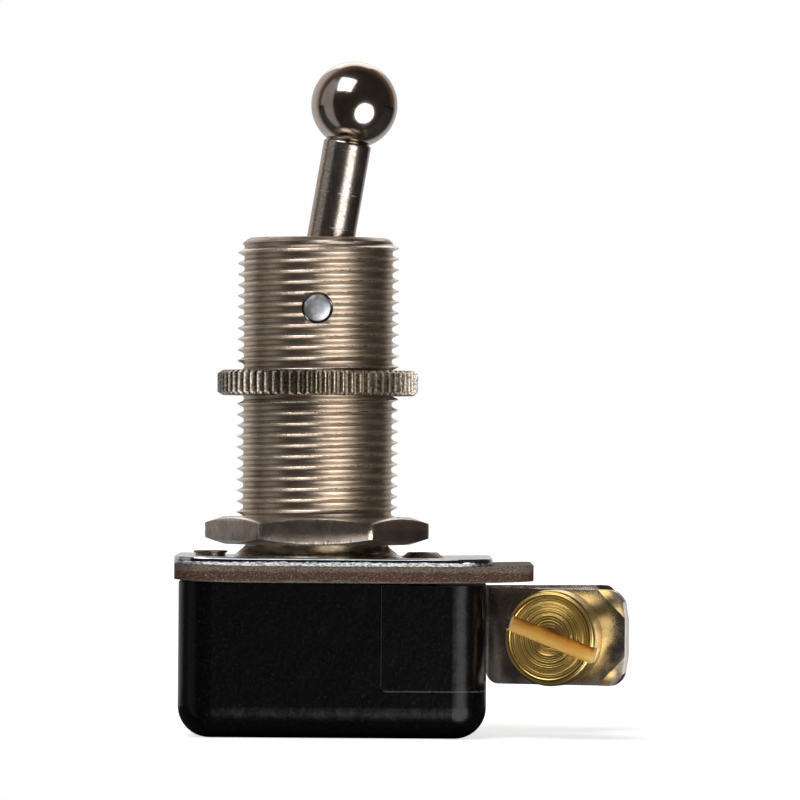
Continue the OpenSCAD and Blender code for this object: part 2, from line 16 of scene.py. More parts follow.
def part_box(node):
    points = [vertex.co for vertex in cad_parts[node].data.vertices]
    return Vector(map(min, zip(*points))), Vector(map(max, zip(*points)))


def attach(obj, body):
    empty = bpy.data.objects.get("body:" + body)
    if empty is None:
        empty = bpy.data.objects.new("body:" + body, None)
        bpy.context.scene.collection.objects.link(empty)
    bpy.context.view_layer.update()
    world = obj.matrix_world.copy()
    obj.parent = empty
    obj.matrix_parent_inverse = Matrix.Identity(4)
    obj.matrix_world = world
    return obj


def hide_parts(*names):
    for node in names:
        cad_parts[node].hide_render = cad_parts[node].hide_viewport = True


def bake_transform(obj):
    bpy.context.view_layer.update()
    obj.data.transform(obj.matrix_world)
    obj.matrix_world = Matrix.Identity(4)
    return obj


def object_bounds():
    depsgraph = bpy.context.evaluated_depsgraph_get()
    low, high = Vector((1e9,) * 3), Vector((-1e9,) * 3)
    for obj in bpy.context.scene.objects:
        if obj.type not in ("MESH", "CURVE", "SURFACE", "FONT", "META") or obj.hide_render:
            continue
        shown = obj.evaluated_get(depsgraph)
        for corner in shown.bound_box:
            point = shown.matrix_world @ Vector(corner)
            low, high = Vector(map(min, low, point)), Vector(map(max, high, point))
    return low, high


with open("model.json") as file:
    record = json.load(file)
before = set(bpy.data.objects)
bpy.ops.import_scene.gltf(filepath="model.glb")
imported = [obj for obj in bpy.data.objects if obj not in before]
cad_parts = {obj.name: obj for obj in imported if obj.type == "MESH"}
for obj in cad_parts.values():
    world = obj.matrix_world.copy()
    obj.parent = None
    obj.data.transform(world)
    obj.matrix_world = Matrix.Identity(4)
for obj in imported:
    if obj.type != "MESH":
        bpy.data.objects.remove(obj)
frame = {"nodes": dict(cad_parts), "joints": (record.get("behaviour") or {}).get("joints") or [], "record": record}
cad_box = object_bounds()
nodes = frame["nodes"]

MM = 0.001
sin, cos, pi = math.sin, math.cos, math.pi


# ---------------------------------------------------------------- sizes, in millimetres and degrees

def span(node, axis):
    """Where a CAD node starts and ends along x, y or z."""
    return [round(corner["xyz".index(axis)] / MM, 3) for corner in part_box(node)]


def length(node, axis):
    """How long a CAD node is along x, y or z."""
    low, high = span(node, axis)
    return round(high - low, 3)


# What the frame gives: its joint, its mounts and the flat faces of its nodes
mounts = {mount["name"]: mount for mount in frame["record"]["mounts"]}
lever_joint = next(joint for joint in frame["joints"] if joint["name"] == "lever_throw")
PIVOT_Z = round(lever_joint["pos_m"][2] / MM, 3)
LEAN = lever_joint["range_deg"][1] / 2
THREAD_R = mounts["bushing_thread"]["dims"]["r_mm"]
SCREW_R = mounts["front_terminal_screw"]["dims"]["r_mm"]
SCREW_Z = round(mounts["front_terminal_screw"]["pos_m"][2] / MM, 3)
PLATE_LOW = span("mounting_plate", "z")[0]
CASE_TOP, CASE_RIGHT, CASE_BACK = [span("case", axis)[1] for axis in "zxy"]
INSULATOR_MID = (PLATE_LOW + CASE_TOP) / 2
BLOCK_LEFT, BLOCK_BOTTOM = span("terminal_block", "x")[0], span("terminal_block", "z")[0]
LIP_LOW, BUSHING_TOP = span("bushing", "z")
PIN_R, PIN_REACH = span("pivot_pin", "x")[1], span("pivot_pin", "y")[1]
RIVET_LOW = span("rivet_left", "z")[0]
HEX_Z, HEX_T = span("hex_nut", "z")[0], length("hex_nut", "z")
HEX_FLATS = length("hex_nut", "y")
HEX_CORNER = HEX_FLATS / 2 / cos(pi / 6)
KNURL_Z, KNURL_T = span("knurled_nut", "z")[0], length("knurled_nut", "z")
STRAP_TOP, LUG_H = span("front_terminal", "z")[1], length("front_terminal", "z")

# The other sizes of the CAD part
RUNNING, SEAT = 0.05, 0.03
CASE_CORNER, CASE_WALL = 2.5, 1.2
RIVET_X, RIVET_R = 7.8, 1.1
THREAD_ROOT, PITCH = 5.44, 25.4 / 32
FOOT_R, FOOT_H = 5.97, 0.88
FOOT_NECK = FOOT_R - FOOT_H * 0.86
RUNOUT_H = 0.7
MOUTH_R, MOUTH_H, MOUTH_CHAMFER, MOUTH_CHAMFER_H = 2.754, 1, 0.85, 0.6
THROAT_R, THROAT_Z, BORE_R = 3.7, 15.5, 4.4
SPIGOT_R, LIP_R, LIP_EDGE, LIP_SPACE = 4.9, 5.45, 0.15, 0.2
PIN_HOLE_R = 1.15
BALL_Z, BALL_R, BALL_NECK_R = 15.25, 3.175, 1.6
STEM_R, BOSS_R, TAIL_R, TAIL_Z, NIB_R, NIB_H = 1.75, 2.74, 1.45, 14.0, 0.9, 1
NUT_BORE, COUNTERSINK = THREAD_R + RUNNING, 0.3
HEX_CHAMFER, HEX_CHAMFER_H = 0.25, 0.46
KNURL_R, TEETH, TOOTH_H = 7.375, 70, 0.36
STRAP_T, STRAP_Y, STRAP_H = 0.8, 4.4, 5.5
PAD_X, PAD_W = 5.15, 3.0
PAD_U = PAD_X - CASE_RIGHT
SPLAY, BEND_R = 20, 0.8
BEND_LEN = math.radians(SPLAY) * BEND_R
LUG_LEN, LUG_CORNER, LUG_ROOT = 10.35, 1.2, 0.9
LUG_END = BEND_LEN + LUG_LEN
GUARD_LEG, GUARD_FOLD, GUARD_CREASE = 2.2, 28, 0.12
SCREW_REACH, SCREW_LEN, SCREW_PITCH = 5.15, 4.6, 0.5
SCREW_HEAD_R, SCREW_HEAD_T, SCREW_HEAD_EDGE = 3.475, 1.95, 0.37
SLOT_W, SLOT_D = 1.15, 0.95
SLOT_TURN = {"front": 20, "rear": -38}
SPRING_TOP, SPRING_LOW = Vector((-2.335, 0, 4.375)), Vector((0, 0, -8.15))
SPRING_TURNS, SPRING_R, WIRE_R = 9, 1.2, 0.18

# Deeper rings turned on the lever's stem, drawn as painted highlights: height above the pivot and half width
STEM_RINGS = ((6.0, 0.035), (8.58, 0.04), (11.75, 0.045))
# How close two points have to be to become one
WELD = 1e-5


# ---------------------------------------------------------------- shapes

def bridge(bm, a, b):
    """Faces between two rings of vertices, either of which may be a single point."""
    n = max(len(a), len(b))
    for i in range(n):
        j = (i + 1) % n
        if len(a) == 1:
            bm.faces.new((a[0], b[i], b[j]))
        elif len(b) == 1:
            bm.faces.new((a[i], b[0], a[j]))
        else:
            bm.faces.new((a[i], b[i], b[j], a[j]))


def lathe(profile, n=96, closed=False):
    """A turned mesh about Z from (radius, height) points."""
    bm = bmesh.new()
    rings = []
    for r, z in profile:
        turns = [0] if r < WELD else [2 * pi * i / n for i in range(n)]
        rings.append([bm.verts.new((r * cos(a), r * sin(a), z)) for a in turns])
    for a, b in zip(rings, rings[1:] + rings[:1] if closed else rings[1:]):
        bridge(bm, a, b)
    bmesh.ops.recalc_face_normals(bm, faces=bm.faces)
    return bm


def rod(r, low, high, n):
    """A plain cylinder about Z, which cuts a bore."""
    return lathe([(0, low), (r, low), (r, high), (0, high)], n)


def arc(x, y, r, start, end, n):
    """n + 1 points on a circle, angles in degrees."""
    turns = [math.radians(start + (end - start) * i / n) for i in range(n + 1)]
    return [(x + r * cos(a), y + r * sin(a)) for a in turns]


def prism(outline, z0, z1):
    """An upright prism over a closed outline of (x, y) points."""
    bm = bmesh.new()
    low = [bm.verts.new((x, y, z0)) for x, y in outline]
    high = [bm.verts.new((x, y, z1)) for x, y in outline]
    bm.faces.new(low)
    bm.faces.new(high)
    bridge(bm, low, high)
    bmesh.ops.recalc_face_normals(bm, faces=bm.faces)
    return bm


def rectangle(x0, x1, y0, y1):
    """A rectangle's outline."""
    return [(x0, y0), (x1, y0), (x1, y1), (x0, y1)]


def rounded(x0, x1, y0, y1, r, n):
    """A rectangle's outline with true arcs at its corners."""
    return (arc(x1 - r, y1 - r, r, 0, 90, n) + arc(x0 + r, y1 - r, r, 90, 180, n)
            + arc(x0 + r, y0 + r, r, 180, 270, n) + arc(x1 - r, y0 + r, r, 270, 360, n))


def bevel(bm, width, angle=35):
    """Rounds every edge that is sharper than the angle."""
    sharp = [e for e in bm.edges
             if len(e.link_faces) == 2 and e.calc_face_angle() > math.radians(angle)]
    bmesh.ops.bevel(bm, geom=sharp, offset=width, segments=2, profile=0.5,
                    affect="EDGES", clamp_overlap=True)
    return bm


def slice_at(bm, point, normal):
    """Adds edges where a plane crosses the mesh."""
    bmesh.ops.bisect_plane(bm, geom=bm.verts[:] + bm.edges[:] + bm.faces[:], dist=WELD,
                           plane_co=point, plane_no=normal)


def slice_along(bm, positions):
    """Adds edges where planes square to x cross the mesh."""
    for x in positions:
        slice_at(bm, (x, 0, 0), (1, 0, 0))


def temporary(bm):
    """An object that holds the mesh while modifiers work on it."""
    mesh = bpy.data.meshes.new("temporary")
    bm.to_mesh(mesh)
    bm.free()
    obj = bpy.data.objects.new("temporary", mesh)
    bpy.context.scene.collection.objects.link(obj)
    return obj


def applied(obj, *helpers):
    """The object's mesh with its modifiers applied. The object and its helpers are deleted."""
    graph = bpy.context.evaluated_depsgraph_get()
    bm = bmesh.new()
    bm.from_mesh(obj.evaluated_get(graph).to_mesh())
    for spent in (obj, *helpers):
        mesh = spent.data
        bpy.data.objects.remove(spent)
        bpy.data.meshes.remove(mesh)
    return bm


def cut(bm, *tools):
    """bm less each tool, by an exact boolean."""
    body = temporary(bm)
    others = [temporary(tool) for tool in tools]
    for other in others:
        step = body.modifiers.new("cut", "BOOLEAN")
        step.operation, step.solver, step.object = "DIFFERENCE", "EXACT", other
    result = applied(body, *others)
    bmesh.ops.remove_doubles(result, verts=result.verts, dist=WELD)
    return result


def join(bm, *others):
    """Adds the other meshes to bm as loose shells of the same piece."""
    for other in others:
        mesh = bpy.data.meshes.new("part")
        other.to_mesh(mesh)
        other.free()
        bm.from_mesh(mesh)
        bpy.data.meshes.remove(mesh)
    return bm


def mirrored(bm):
    """The mesh turned into its twin at the back."""
    bm.transform(Matrix.Scale(-1, 4, (0, 1, 0)))
    bmesh.ops.reverse_faces(bm, faces=bm.faces)
    return bm


def piece(name, bm, body, slot, material, *replaced, smooth=32, place=None):
    """Makes the object, in metres, riding on its body and standing for the CAD nodes given."""
    if place is not None:
        bm.transform(place)
    mesh = bpy.data.meshes.new(name)
    bm.to_mesh(mesh)
    bm.free()
    mesh.transform(Matrix.Scale(MM, 4))
    mesh.polygons.foreach_set("use_smooth", [True] * len(mesh.polygons))
    mesh.set_sharp_from_angle(angle=math.radians(smooth))
    mesh.materials.append(material)
    obj = bpy.data.objects.new(name, mesh)
    bpy.context.scene.collection.objects.link(obj)
    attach(obj, body)
    if replaced:
        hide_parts(*replaced)
    return obj


def turn(degrees, axis):
    """A turn about an axis, as a matrix."""
    return Matrix.Rotation(math.radians(degrees), 4, axis)


def shift(x, y, z):
    """A move, as a matrix."""
    return Matrix.Translation((x, y, z))


# ---------------------------------------------------------------- materials

class Wiring:
    """A short way to write a node tree. An input goes by its name, or by i and its number."""

    def __init__(self, tree):
        self.tree = tree

    def set(self, node, **inputs):
        for key, value in inputs.items():
            numbered = key[0] == "i" and key[1:].isdigit()
            socket = node.inputs[int(key[1:]) if numbered else key]
            if isinstance(value, bpy.types.NodeSocket):
                self.tree.links.new(value, socket)
            else:
                socket.default_value = value

    def node(self, kind, attributes=None, **inputs):
        node = self.tree.nodes.new("ShaderNode" + kind)
        for key, value in (attributes or {}).items():
            setattr(node, key, value)
        self.set(node, **inputs)
        return node

    def math(self, operation, a, b=0.0, c=0.0):
        return self.node("Math", {"operation": operation}, i0=a, i1=b, i2=c).outputs[0]

    def plus(self, a, b):
        return self.math("ADD", a, b)

    def times(self, a, b):
        return self.math("MULTIPLY", a, b)

    def larger(self, a, b):
        return self.math("MAXIMUM", a, b)

    def distance(self, value, level):
        return self.math("ABSOLUTE", self.math("SUBTRACT", value, level))

    def vector(self, operation, a, b=(0, 0, 0), c=(0, 0, 0), output="Vector"):
        return self.node("VectorMath", {"operation": operation}, i0=a, i1=b, i2=c).outputs[output]

    def split(self, vector):
        return self.node("SeparateXYZ", Vector=vector).outputs

    def ramp(self, value, low, high, out_low=0.0, out_high=1.0):
        """Goes from out_low to out_high while the value goes from low to high, and no further."""
        node = self.node("MapRange", {"clamp": True}, Value=value)
        self.set(node, **{"From Min": low, "From Max": high, "To Min": out_low,
                          "To Max": out_high})
        return node.outputs["Result"]

    def mix(self, factor, a, b):
        """A colour mix of two RGB triples or sockets."""
        node = self.node("Mix", {"data_type": "RGBA"})
        colours = [v if isinstance(v, bpy.types.NodeSocket) else (*v, 1) for v in (a, b)]
        self.set(node, i0=factor, i6=colours[0], i7=colours[1])
        return node.outputs[2]

    def rays(self):
        """Camera rays, and the glossy or transmitted rays that show the background too."""
        path = self.node("LightPath").outputs
        return path["Is Camera Ray"], self.larger(path["Is Glossy Ray"],
                                                  path["Is Transmission Ray"])


class Graph(Wiring):
    """A material and its nodes. Coordinates are in millimetres."""

    def __init__(self, name, color, metallic, roughness, **settings):
        self.material = bpy.data.materials.new(name)
        self.material.use_nodes = True
        super().__init__(self.material.node_tree)
        self.shader = self.tree.nodes["Principled BSDF"]
        self.set(self.shader, **{"Base Color": (*color, 1), "Metallic": metallic,
                                 "Roughness": roughness})
        for key, value in settings.items():
            self.shader.inputs[key.replace("_", " ")].default_value = value

    def place(self, scale=(1, 1, 1), rotation=(0, 0, 0), origin=(0, 0, 0)):
        """Object coordinates in millimetres about an origin, turned (degrees) and then scaled."""
        moved = self.vector("MULTIPLY_ADD", self.node("TexCoord").outputs["Object"],
                            (1 / MM,) * 3, tuple(-v for v in origin))
        if any(rotation):
            moved = self.node("VectorRotate", {"rotation_type": "EULER_XYZ", "invert": True},
                              Vector=moved,
                              Rotation=tuple(math.radians(v) for v in rotation)).outputs[0]
        if tuple(scale) == (1, 1, 1):
            return moved
        return self.vector("MULTIPLY", moved, scale)

    def noise(self, vector, scale, detail=3, roughness=0.55, distortion=0):
        return self.node("TexNoise", Vector=vector, Scale=scale, Detail=detail,
                         Roughness=roughness, Distortion=distortion).outputs["Fac"]

    def radius(self, vector):
        """Distance from the vector's own Z axis."""
        x, y, _ = self.split(vector)
        return self.math("SQRT", self.plus(self.times(x, x), self.times(y, y)))

    def bump(self, height, depth, normal=None):
        """depth is the height's full range in millimetres."""
        node = self.node("Bump", Height=height, Distance=depth * MM, Strength=1.0)
        if normal is not None:
            self.set(node, Normal=normal)
        return node.outputs[0]

    def finish(self, **inputs):
        self.set(self.shader, **{key.replace("_", " "): v for key, v in inputs.items()})
        return self.material


def nickel_lever():
    """Polished nickel: a mirror ball, and a stem turned in fine rings with a few deeper ones, which are painted
    near white and rougher as a painted highlight.
    """
    g = Graph("polished_nickel", (0.6, 0.56, 0.52), 1, 0.1)
    own = g.place(rotation=(0, LEAN, 0), origin=(0, 0, PIVOT_Z))
    height = g.split(own)[2]
    fine = g.noise(g.node("CombineXYZ", Z=height).outputs[0], 9, 4, 0.7)
    cloud = g.noise(own, 0.55, 4, 0.6)
    stem = g.ramp(height, BALL_Z - 3.1, BALL_Z - 2.8, 1, 0)
    ring = 0.0
    for level, wide in STEM_RINGS:
        ring = g.larger(ring, g.ramp(g.distance(height, level), wide, wide * 0.4))
    ring = g.times(ring, g.ramp(g.noise(own, 1.1, 3), 0.5, 0.6))
    tint = g.mix(g.ramp(cloud, 0.35, 0.7), (0.50, 0.42, 0.35), (0.66, 0.60, 0.55))
    speck = g.ramp(g.noise(own, 6.5, 4, 0.8), 0.46, 0.62)
    speck = g.times(speck, g.plus(g.times(stem, 0.45), 0.2))
    tint = g.mix(speck, tint, (0.16, 0.13, 0.105))
    # Painted highlight: the deeper rings are painted near white.
    tint = g.mix(g.times(ring, 0.5), tint, (0.93, 0.90, 0.87))
    rough = g.plus(g.ramp(cloud, 0.3, 0.7, 0.10, 0.16),
                   g.plus(g.times(stem, 0.1), g.times(ring, 0.25)))
    turned = g.times(fine, g.plus(g.times(stem, 0.9), 0.1))
    pits = g.noise(g.place((0.6, 0.6, 6), (0, LEAN, 0), (0, 0, PIVOT_Z)), 1.1, 3, 0.6)
    return g.finish(Base_Color=tint, Roughness=rough,
                    Normal=g.bump(pits, 0.0025, g.bump(turned, 0.005)))


def satin_nickel():
    """The bushing: warm satin nickel. Painted shade and dirt darken the thread's roots, and painted glints with
    wear lie along its crests.
    """
    g = Graph("satin_nickel", (0.6, 0.53, 0.45), 1, 0.36)
    own = g.place()
    out = g.radius(own)
    height = g.split(own)[2]
    crest = g.ramp(out, THREAD_R - 0.1, THREAD_R - 0.03)
    patches = g.noise(g.place((1, 1, 1.6)), 1.5, 5, 0.65)
    # Painted glints, with some wear: broken patches along the crests are painted near white.
    crest_wear_and_glint = g.times(crest, g.ramp(patches, 0.44, 0.56))
    # Painted shade, with some dirt: the thread's roots are painted darker.
    root_shade_and_dirt = g.mix(g.ramp(out, THREAD_R - 0.52, THREAD_R - 0.1), (0.38, 0.31, 0.25),
                 (0.87, 0.77, 0.65))
    cloud = g.noise(own, 0.35, 4, 0.6)
    tint = g.mix(g.ramp(cloud, 0.35, 0.65, 0, 0.35), root_shade_and_dirt, (0.90, 0.81, 0.71))
    tint = g.mix(crest_wear_and_glint, tint, (1.0, 0.97, 0.92))
    fine = g.noise(own, 11, 3, 0.7)
    foot = g.ramp(height, FOOT_H - 0.05, FOOT_H + 0.1, 1, 0)
    rough = g.math("SUBTRACT", g.ramp(fine, 0.3, 0.7, 0.27, 0.36),
                   g.larger(g.times(crest_wear_and_glint, 0.18), g.times(foot, 0.1)))
    # Painted sheen: the foot is painted in bright patches at random.
    shine = g.ramp(g.noise(g.place((1, 1, 3)), 0.9, 3), 0.4, 0.6)
    foot_sheen_tint = g.mix(shine, (0.62, 0.52, 0.36), (1.0, 0.94, 0.82))
    return g.finish(Base_Color=g.mix(foot, tint, foot_sheen_tint), Roughness=rough,
                    Normal=g.bump(g.noise(g.place((0.5, 0.5, 4)), 4, 4, 0.7), 0.012))


def hexagon_nickel():
    """The hex nut: dark, glossy nickel plate with an upright grain. Its corners and chamfers are painted bright,
    for wear and as a painted highlight.
    """
    g = Graph("hexagon_nickel", (0.3, 0.27, 0.26), 0.85, 0.3)
    own = g.place()
    grain = g.noise(g.place((6, 6, 1.5)), 1.5, 5, 0.8)
    cloud = g.noise(own, 1.0, 3, 0.5)
    tint = g.mix(g.ramp(cloud, 0.35, 0.65), (0.25, 0.205, 0.175), (0.36, 0.30, 0.26))
    tint = g.mix(g.ramp(grain, 0.52, 0.38, 0, 0.7), tint, (0.13, 0.105, 0.08))
    height = g.split(own)[2]
    middle = g.distance(height, HEX_Z + HEX_T / 2)
    corner = g.ramp(g.radius(own), HEX_CORNER - 0.14, HEX_CORNER - 0.05)
    rim = g.ramp(middle, HEX_T / 2 - 0.35, HEX_T / 2 - 0.1)
    # Painted highlight, with some wear: the corners and the chamfer bands are painted bright.
    edge_highlight = g.times(g.larger(corner, rim), g.ramp(grain, 0.42, 0.56))
    tint = g.mix(g.times(edge_highlight, 0.8), tint, (0.92, 0.87, 0.78))
    return g.finish(Base_Color=tint, Roughness=g.ramp(grain, 0.35, 0.65, 0.07, 0.14),
                    Normal=g.bump(grain, 0.008))


def toothed_nickel():
    """The knurled nut: painted shade with dirt, dark brown between its teeth, and a painted highlight with wear
    along their crests and on their chamfered ends.
    """
    g = Graph("toothed_nickel", (0.55, 0.48, 0.42), 1, 0.3)
    own = g.place()
    out = g.radius(own)
    crest = g.ramp(out, KNURL_R - 0.16, KNURL_R - 0.03)
    speck = g.noise(own, 6, 4, 0.7)
    # Painted shade, with dirt: the valleys between the teeth are painted dark brown.
    dark = g.mix(g.ramp(speck, 0.4, 0.6), (0.08, 0.06, 0.042), (0.32, 0.255, 0.195))
    # Painted highlight, with wear: the crests are painted near white.
    bright = g.mix(g.ramp(speck, 0.43, 0.57), (0.42, 0.36, 0.29), (1.0, 0.95, 0.86))
    # The chamfered ends of the teeth get the painted highlight too.
    middle = g.distance(g.split(own)[2], KNURL_Z + KNURL_T / 2)
    end = g.ramp(middle, KNURL_T / 2 - 0.26, KNURL_T / 2 - 0.18)
    end = g.times(end, g.ramp(out, KNURL_R - 0.34, KNURL_R - 0.2))
    crest = g.larger(crest, g.times(end, g.ramp(speck, 0.4, 0.5)))
    return g.finish(Base_Color=g.mix(crest, dark, bright),
                    Roughness=g.ramp(crest, 0, 1, 0.3, 0.38), Normal=g.bump(speck, 0.03))


def zinc_plate():
    """Bright zinc on sheet steel: a smooth, mirror-like edge, painted darker and bluer as a painted reflection,
    over a torn band with painted sparkle.
    """
    g = Graph("bright_zinc", (0.7, 0.73, 0.77), 1, 0.2)
    own = g.place()
    height = g.split(own)[2]
    wander = g.noise(own, 2.2, 4, 0.7)
    wavy = g.plus(height, g.ramp(wander, 0.3, 0.7, -0.07, 0.07))
    torn = g.ramp(wavy, -0.3, -0.25, 1, 0)
    shards = g.noise(g.place((1.1, 1.1, 3)), 3.4, 5, 0.8)
    cloud = g.ramp(g.noise(own, 0.9, 3), 0.35, 0.65)
    smooth_tint = g.mix(cloud, (0.62, 0.66, 0.72), (0.72, 0.76, 0.81))
    # Painted reflection: the plate's edge is painted darker and bluer than its top.
    edge_reflection_tint = g.mix(cloud, (0.26, 0.32, 0.45), (0.62, 0.68, 0.78))
    smooth_tint = g.mix(g.ramp(height, -0.05, -0.1), smooth_tint, edge_reflection_tint)
    # Painted sparkle: the torn band is painted dark, with white specks that stand for glints.
    torn_sparkle_tint = g.mix(g.ramp(shards, 0.46, 0.52), (0.22, 0.22, 0.24), (1.0, 1.0, 1.0))
    tint = g.mix(torn, smooth_tint, torn_sparkle_tint)
    bumps = g.times(torn, shards)
    return g.finish(Base_Color=tint, Roughness=g.ramp(torn, 0, 1, 0.09, 0.45),
                    Normal=g.bump(bumps, 0.06))


def vulcanised_fibre():
    """A pressed board: grey-tan skins with a red-brown, fibrous core that shows at the cut edge. The pale lower
    band is also a painted highlight on the rounded lower edge.
    """
    g = Graph("vulcanised_fibre", (0.3, 0.2, 0.15), 0, 0.7)
    own = g.place()
    height = g.split(own)[2]
    fibres = g.noise(g.place((1.6, 1.6, 4)), 3.6, 5, 0.8, 0.4)
    fleck = g.noise(g.place((1, 1, 2.2)), 5.5, 4, 0.8)
    core = g.mix(g.ramp(fibres, 0.42, 0.58), (0.008, 0.003, 0.002), (0.115, 0.045, 0.022))
    core = g.mix(g.ramp(fleck, 0.57, 0.64), core, (0.44, 0.30, 0.21))
    wander = g.noise(g.place((0.7, 0.7, 1)), 1.2, 4, 0.7)
    wavy = g.plus(height, g.ramp(wander, 0.3, 0.7, -0.11, 0.11))
    top_skin = g.ramp(wavy, INSULATOR_MID + 0.14, INSULATOR_MID + 0.3)
    # The pale lower band is the lower skin and also a painted highlight of the rounded lower edge.
    low_skin_and_highlight = g.ramp(wavy, INSULATOR_MID - 0.5, INSULATOR_MID - 0.4, 1, 0)
    pale = g.mix(g.ramp(fleck, 0.42, 0.56), (0.045, 0.034, 0.027), (0.23, 0.185, 0.145))
    tint = g.mix(g.larger(top_skin, low_skin_and_highlight), core, pale)
    return g.finish(Base_Color=tint, Roughness=g.ramp(fibres, 0.3, 0.7, 0.55, 0.8),
                    Normal=g.bump(fibres, 0.06))


def phenolic(name, color, edges=False):
    """Black moulding compound with filler specks and, on the block, a painted highlight along its lower and left
    edges.
    """
    g = Graph(name, color, 0, 0.3, Specular_IOR_Level=0.2)
    own = g.place()
    speck = g.noise(own, 4.5, 5, 0.8)
    tint = g.mix(g.ramp(speck, 0.54, 0.64), color, tuple(4 * v for v in color))
    if edges:
        across, _, height = g.split(own)
        # Painted highlight: the block's lower and left edges are painted lighter, as if they caught the light.
        low = g.ramp(height, BLOCK_BOTTOM + 0.06, BLOCK_BOTTOM + 0.13, 1, 0)
        left = g.ramp(across, BLOCK_LEFT + 0.05, BLOCK_LEFT + 0.1, 0.3, 0)
        edge_highlight = g.times(g.larger(low, left), g.ramp(speck, 0.35, 0.5))
        tint = g.mix(edge_highlight, tint, (0.07, 0.066, 0.066))
    skin = g.noise(own, 2.6, 4, 0.65)
    return g.finish(Base_Color=tint, Roughness=g.ramp(speck, 0.3, 0.7, 0.18, 0.25),
                    Normal=g.bump(skin, 0.012, g.bump(g.noise(own, 0.45, 2), 0.035)))


def terminal_metal():
    """Bright-plated sheet that mirrors the screw, with fine scratches and dull specks. Its cut edge at the lug's
    tip is painted near white, rougher and less metallic: cut steel with a painted highlight."""
    g = Graph("terminal_nickel", (0.5, 0.45, 0.41), 1, 0.2)
    own = g.place()
    cloud = g.noise(own, 0.7, 4, 0.6, 0.5)
    speck = g.noise(own, 5, 4, 0.8)
    tint = g.mix(g.ramp(cloud, 0.3, 0.7), (0.52, 0.46, 0.42), (0.74, 0.66, 0.58))
    tint = g.mix(g.ramp(speck, 0.56, 0.66, 0, 0.55), tint, (0.20, 0.17, 0.15))
    grain = g.noise(g.place((0.8, 1, 9), (0, 62, 0)), 1.5, 4, 0.7)
    scratch = g.times(g.ramp(grain, 0.68, 0.74), 0.5)
    tint = g.mix(scratch, tint, (0.95, 0.93, 0.90))
    x, y, _ = g.split(own)
    out = g.math("ABSOLUTE", y)
    splay = math.radians(SPLAY)
    along = g.plus(g.times(x, cos(splay)), g.times(out, sin(splay)))
    tip = (CASE_RIGHT + BEND_R * sin(splay)) * cos(splay) + LUG_LEN
    tip += (STRAP_Y + STRAP_T / 2 + BEND_R * (1 - cos(splay))) * sin(splay)
    # Painted highlight: the lug's cut tip is painted near white and less metallic, over the cut steel.
    rim = g.ramp(along, tip - 0.07, tip - 0.03)
    tint = g.mix(rim, tint, (1.0, 0.97, 0.95))
    rough = g.plus(g.ramp(cloud, 0.3, 0.7, 0.19, 0.31),
                   g.plus(g.times(scratch, 0.4), g.times(rim, 0.4)))
    return g.finish(Base_Color=tint, Roughness=rough, Metallic=g.ramp(rim, 0, 1, 1, 0.3),
                    Normal=g.bump(speck, 0.005, g.bump(grain, 0.006)))


def screw_brass(side, sign):
    """Turned brass: rings on the head's face and a darker turned centre. The slot is painted with light: painted
    shade on its upper part and a painted bright orange below, and it is less metallic. The head's outer edge has a
    painted highlight. The sign is 1 at the front and -1 at the rear."""
    g = Graph(side + "_brass", (0.7, 0.5, 0.17), 1, 0.3)
    centre = screw_place().translation
    own = g.place(rotation=(90 * sign, 0, -SPLAY * sign),
                  origin=(centre.x, sign * centre.y, centre.z))
    out = g.radius(own)
    x, y, height = g.split(own)
    top, floor, ring_gap = SCREW_HEAD_T, SCREW_HEAD_T - SLOT_D, 0.17
    uneven = g.noise(g.node("CombineXYZ", X=out).outputs[0], 3.4, 4, 0.8)
    wave = g.math("SINE", g.plus(g.times(out, 2 * pi / ring_gap), g.times(uneven, 9)))
    rings = g.plus(g.times(wave, 0.07), uneven)
    cloud = g.noise(own, 0.7, 4, 0.65, 0.5)
    tint = g.mix(g.ramp(cloud, 0.3, 0.7), (0.82, 0.51, 0.12), (1.0, 0.70, 0.21))
    face = g.ramp(height, top - 0.35, top - 0.2)
    tint = g.mix(g.times(g.ramp(rings, 0.52, 0.42), face), tint, (0.40, 0.24, 0.065))
    disc = g.times(g.ramp(out, 1.25, 1.1), face)
    tint = g.mix(g.times(disc, 0.45), tint, (0.28, 0.18, 0.07))
    slot = g.times(g.ramp(height, top - 0.2, top - 0.35),
                   g.ramp(out, SCREW_HEAD_R - 0.02, SCREW_HEAD_R - 0.06))
    slot = g.times(slot, g.ramp(height, floor - 0.1, floor - 0.02))
    slot_turn = math.radians(SLOT_TURN[side])
    up = g.plus(g.times(x, sin(slot_turn)), g.times(y, sign * cos(slot_turn)))
    # Painted light in the slot: dark orange shade on its upper part, bright orange lower down.
    slot_shading_height = g.plus(up, g.ramp(g.noise(own, 0.8, 3), 0.3, 0.7, -0.12, 0.12))
    slot_painted_light = g.mix(g.ramp(slot_shading_height, 0.42, 0.12), (0.30, 0.09, 0.012), (1.0, 0.50, 0.09))
    slot_painted_light = g.mix(g.ramp(slot_shading_height, 0.05, -0.35), slot_painted_light, (1.0, 0.72, 0.24))
    tint = g.mix(slot, tint, slot_painted_light)
    # Painted highlight: the head's outer edge is painted pale gold.
    rim = g.ramp(out, SCREW_HEAD_R - 0.22, SCREW_HEAD_R - 0.16)
    tint = g.mix(g.times(rim, 0.6), tint, (0.98, 0.84, 0.42))
    rough = g.plus(g.ramp(rings, 0.3, 0.7, 0.26, 0.36), g.times(slot, 0.16))
    fine = g.bump(g.times(rings, face), 0.07)
    # The slot is less metallic, so that its painted light shows.
    return g.finish(Base_Color=tint, Roughness=rough, Metallic=g.ramp(slot, 0, 1, 1, 0.4),
                    Normal=g.bump(g.noise(own, 6, 3, 0.7), 0.006, fine))


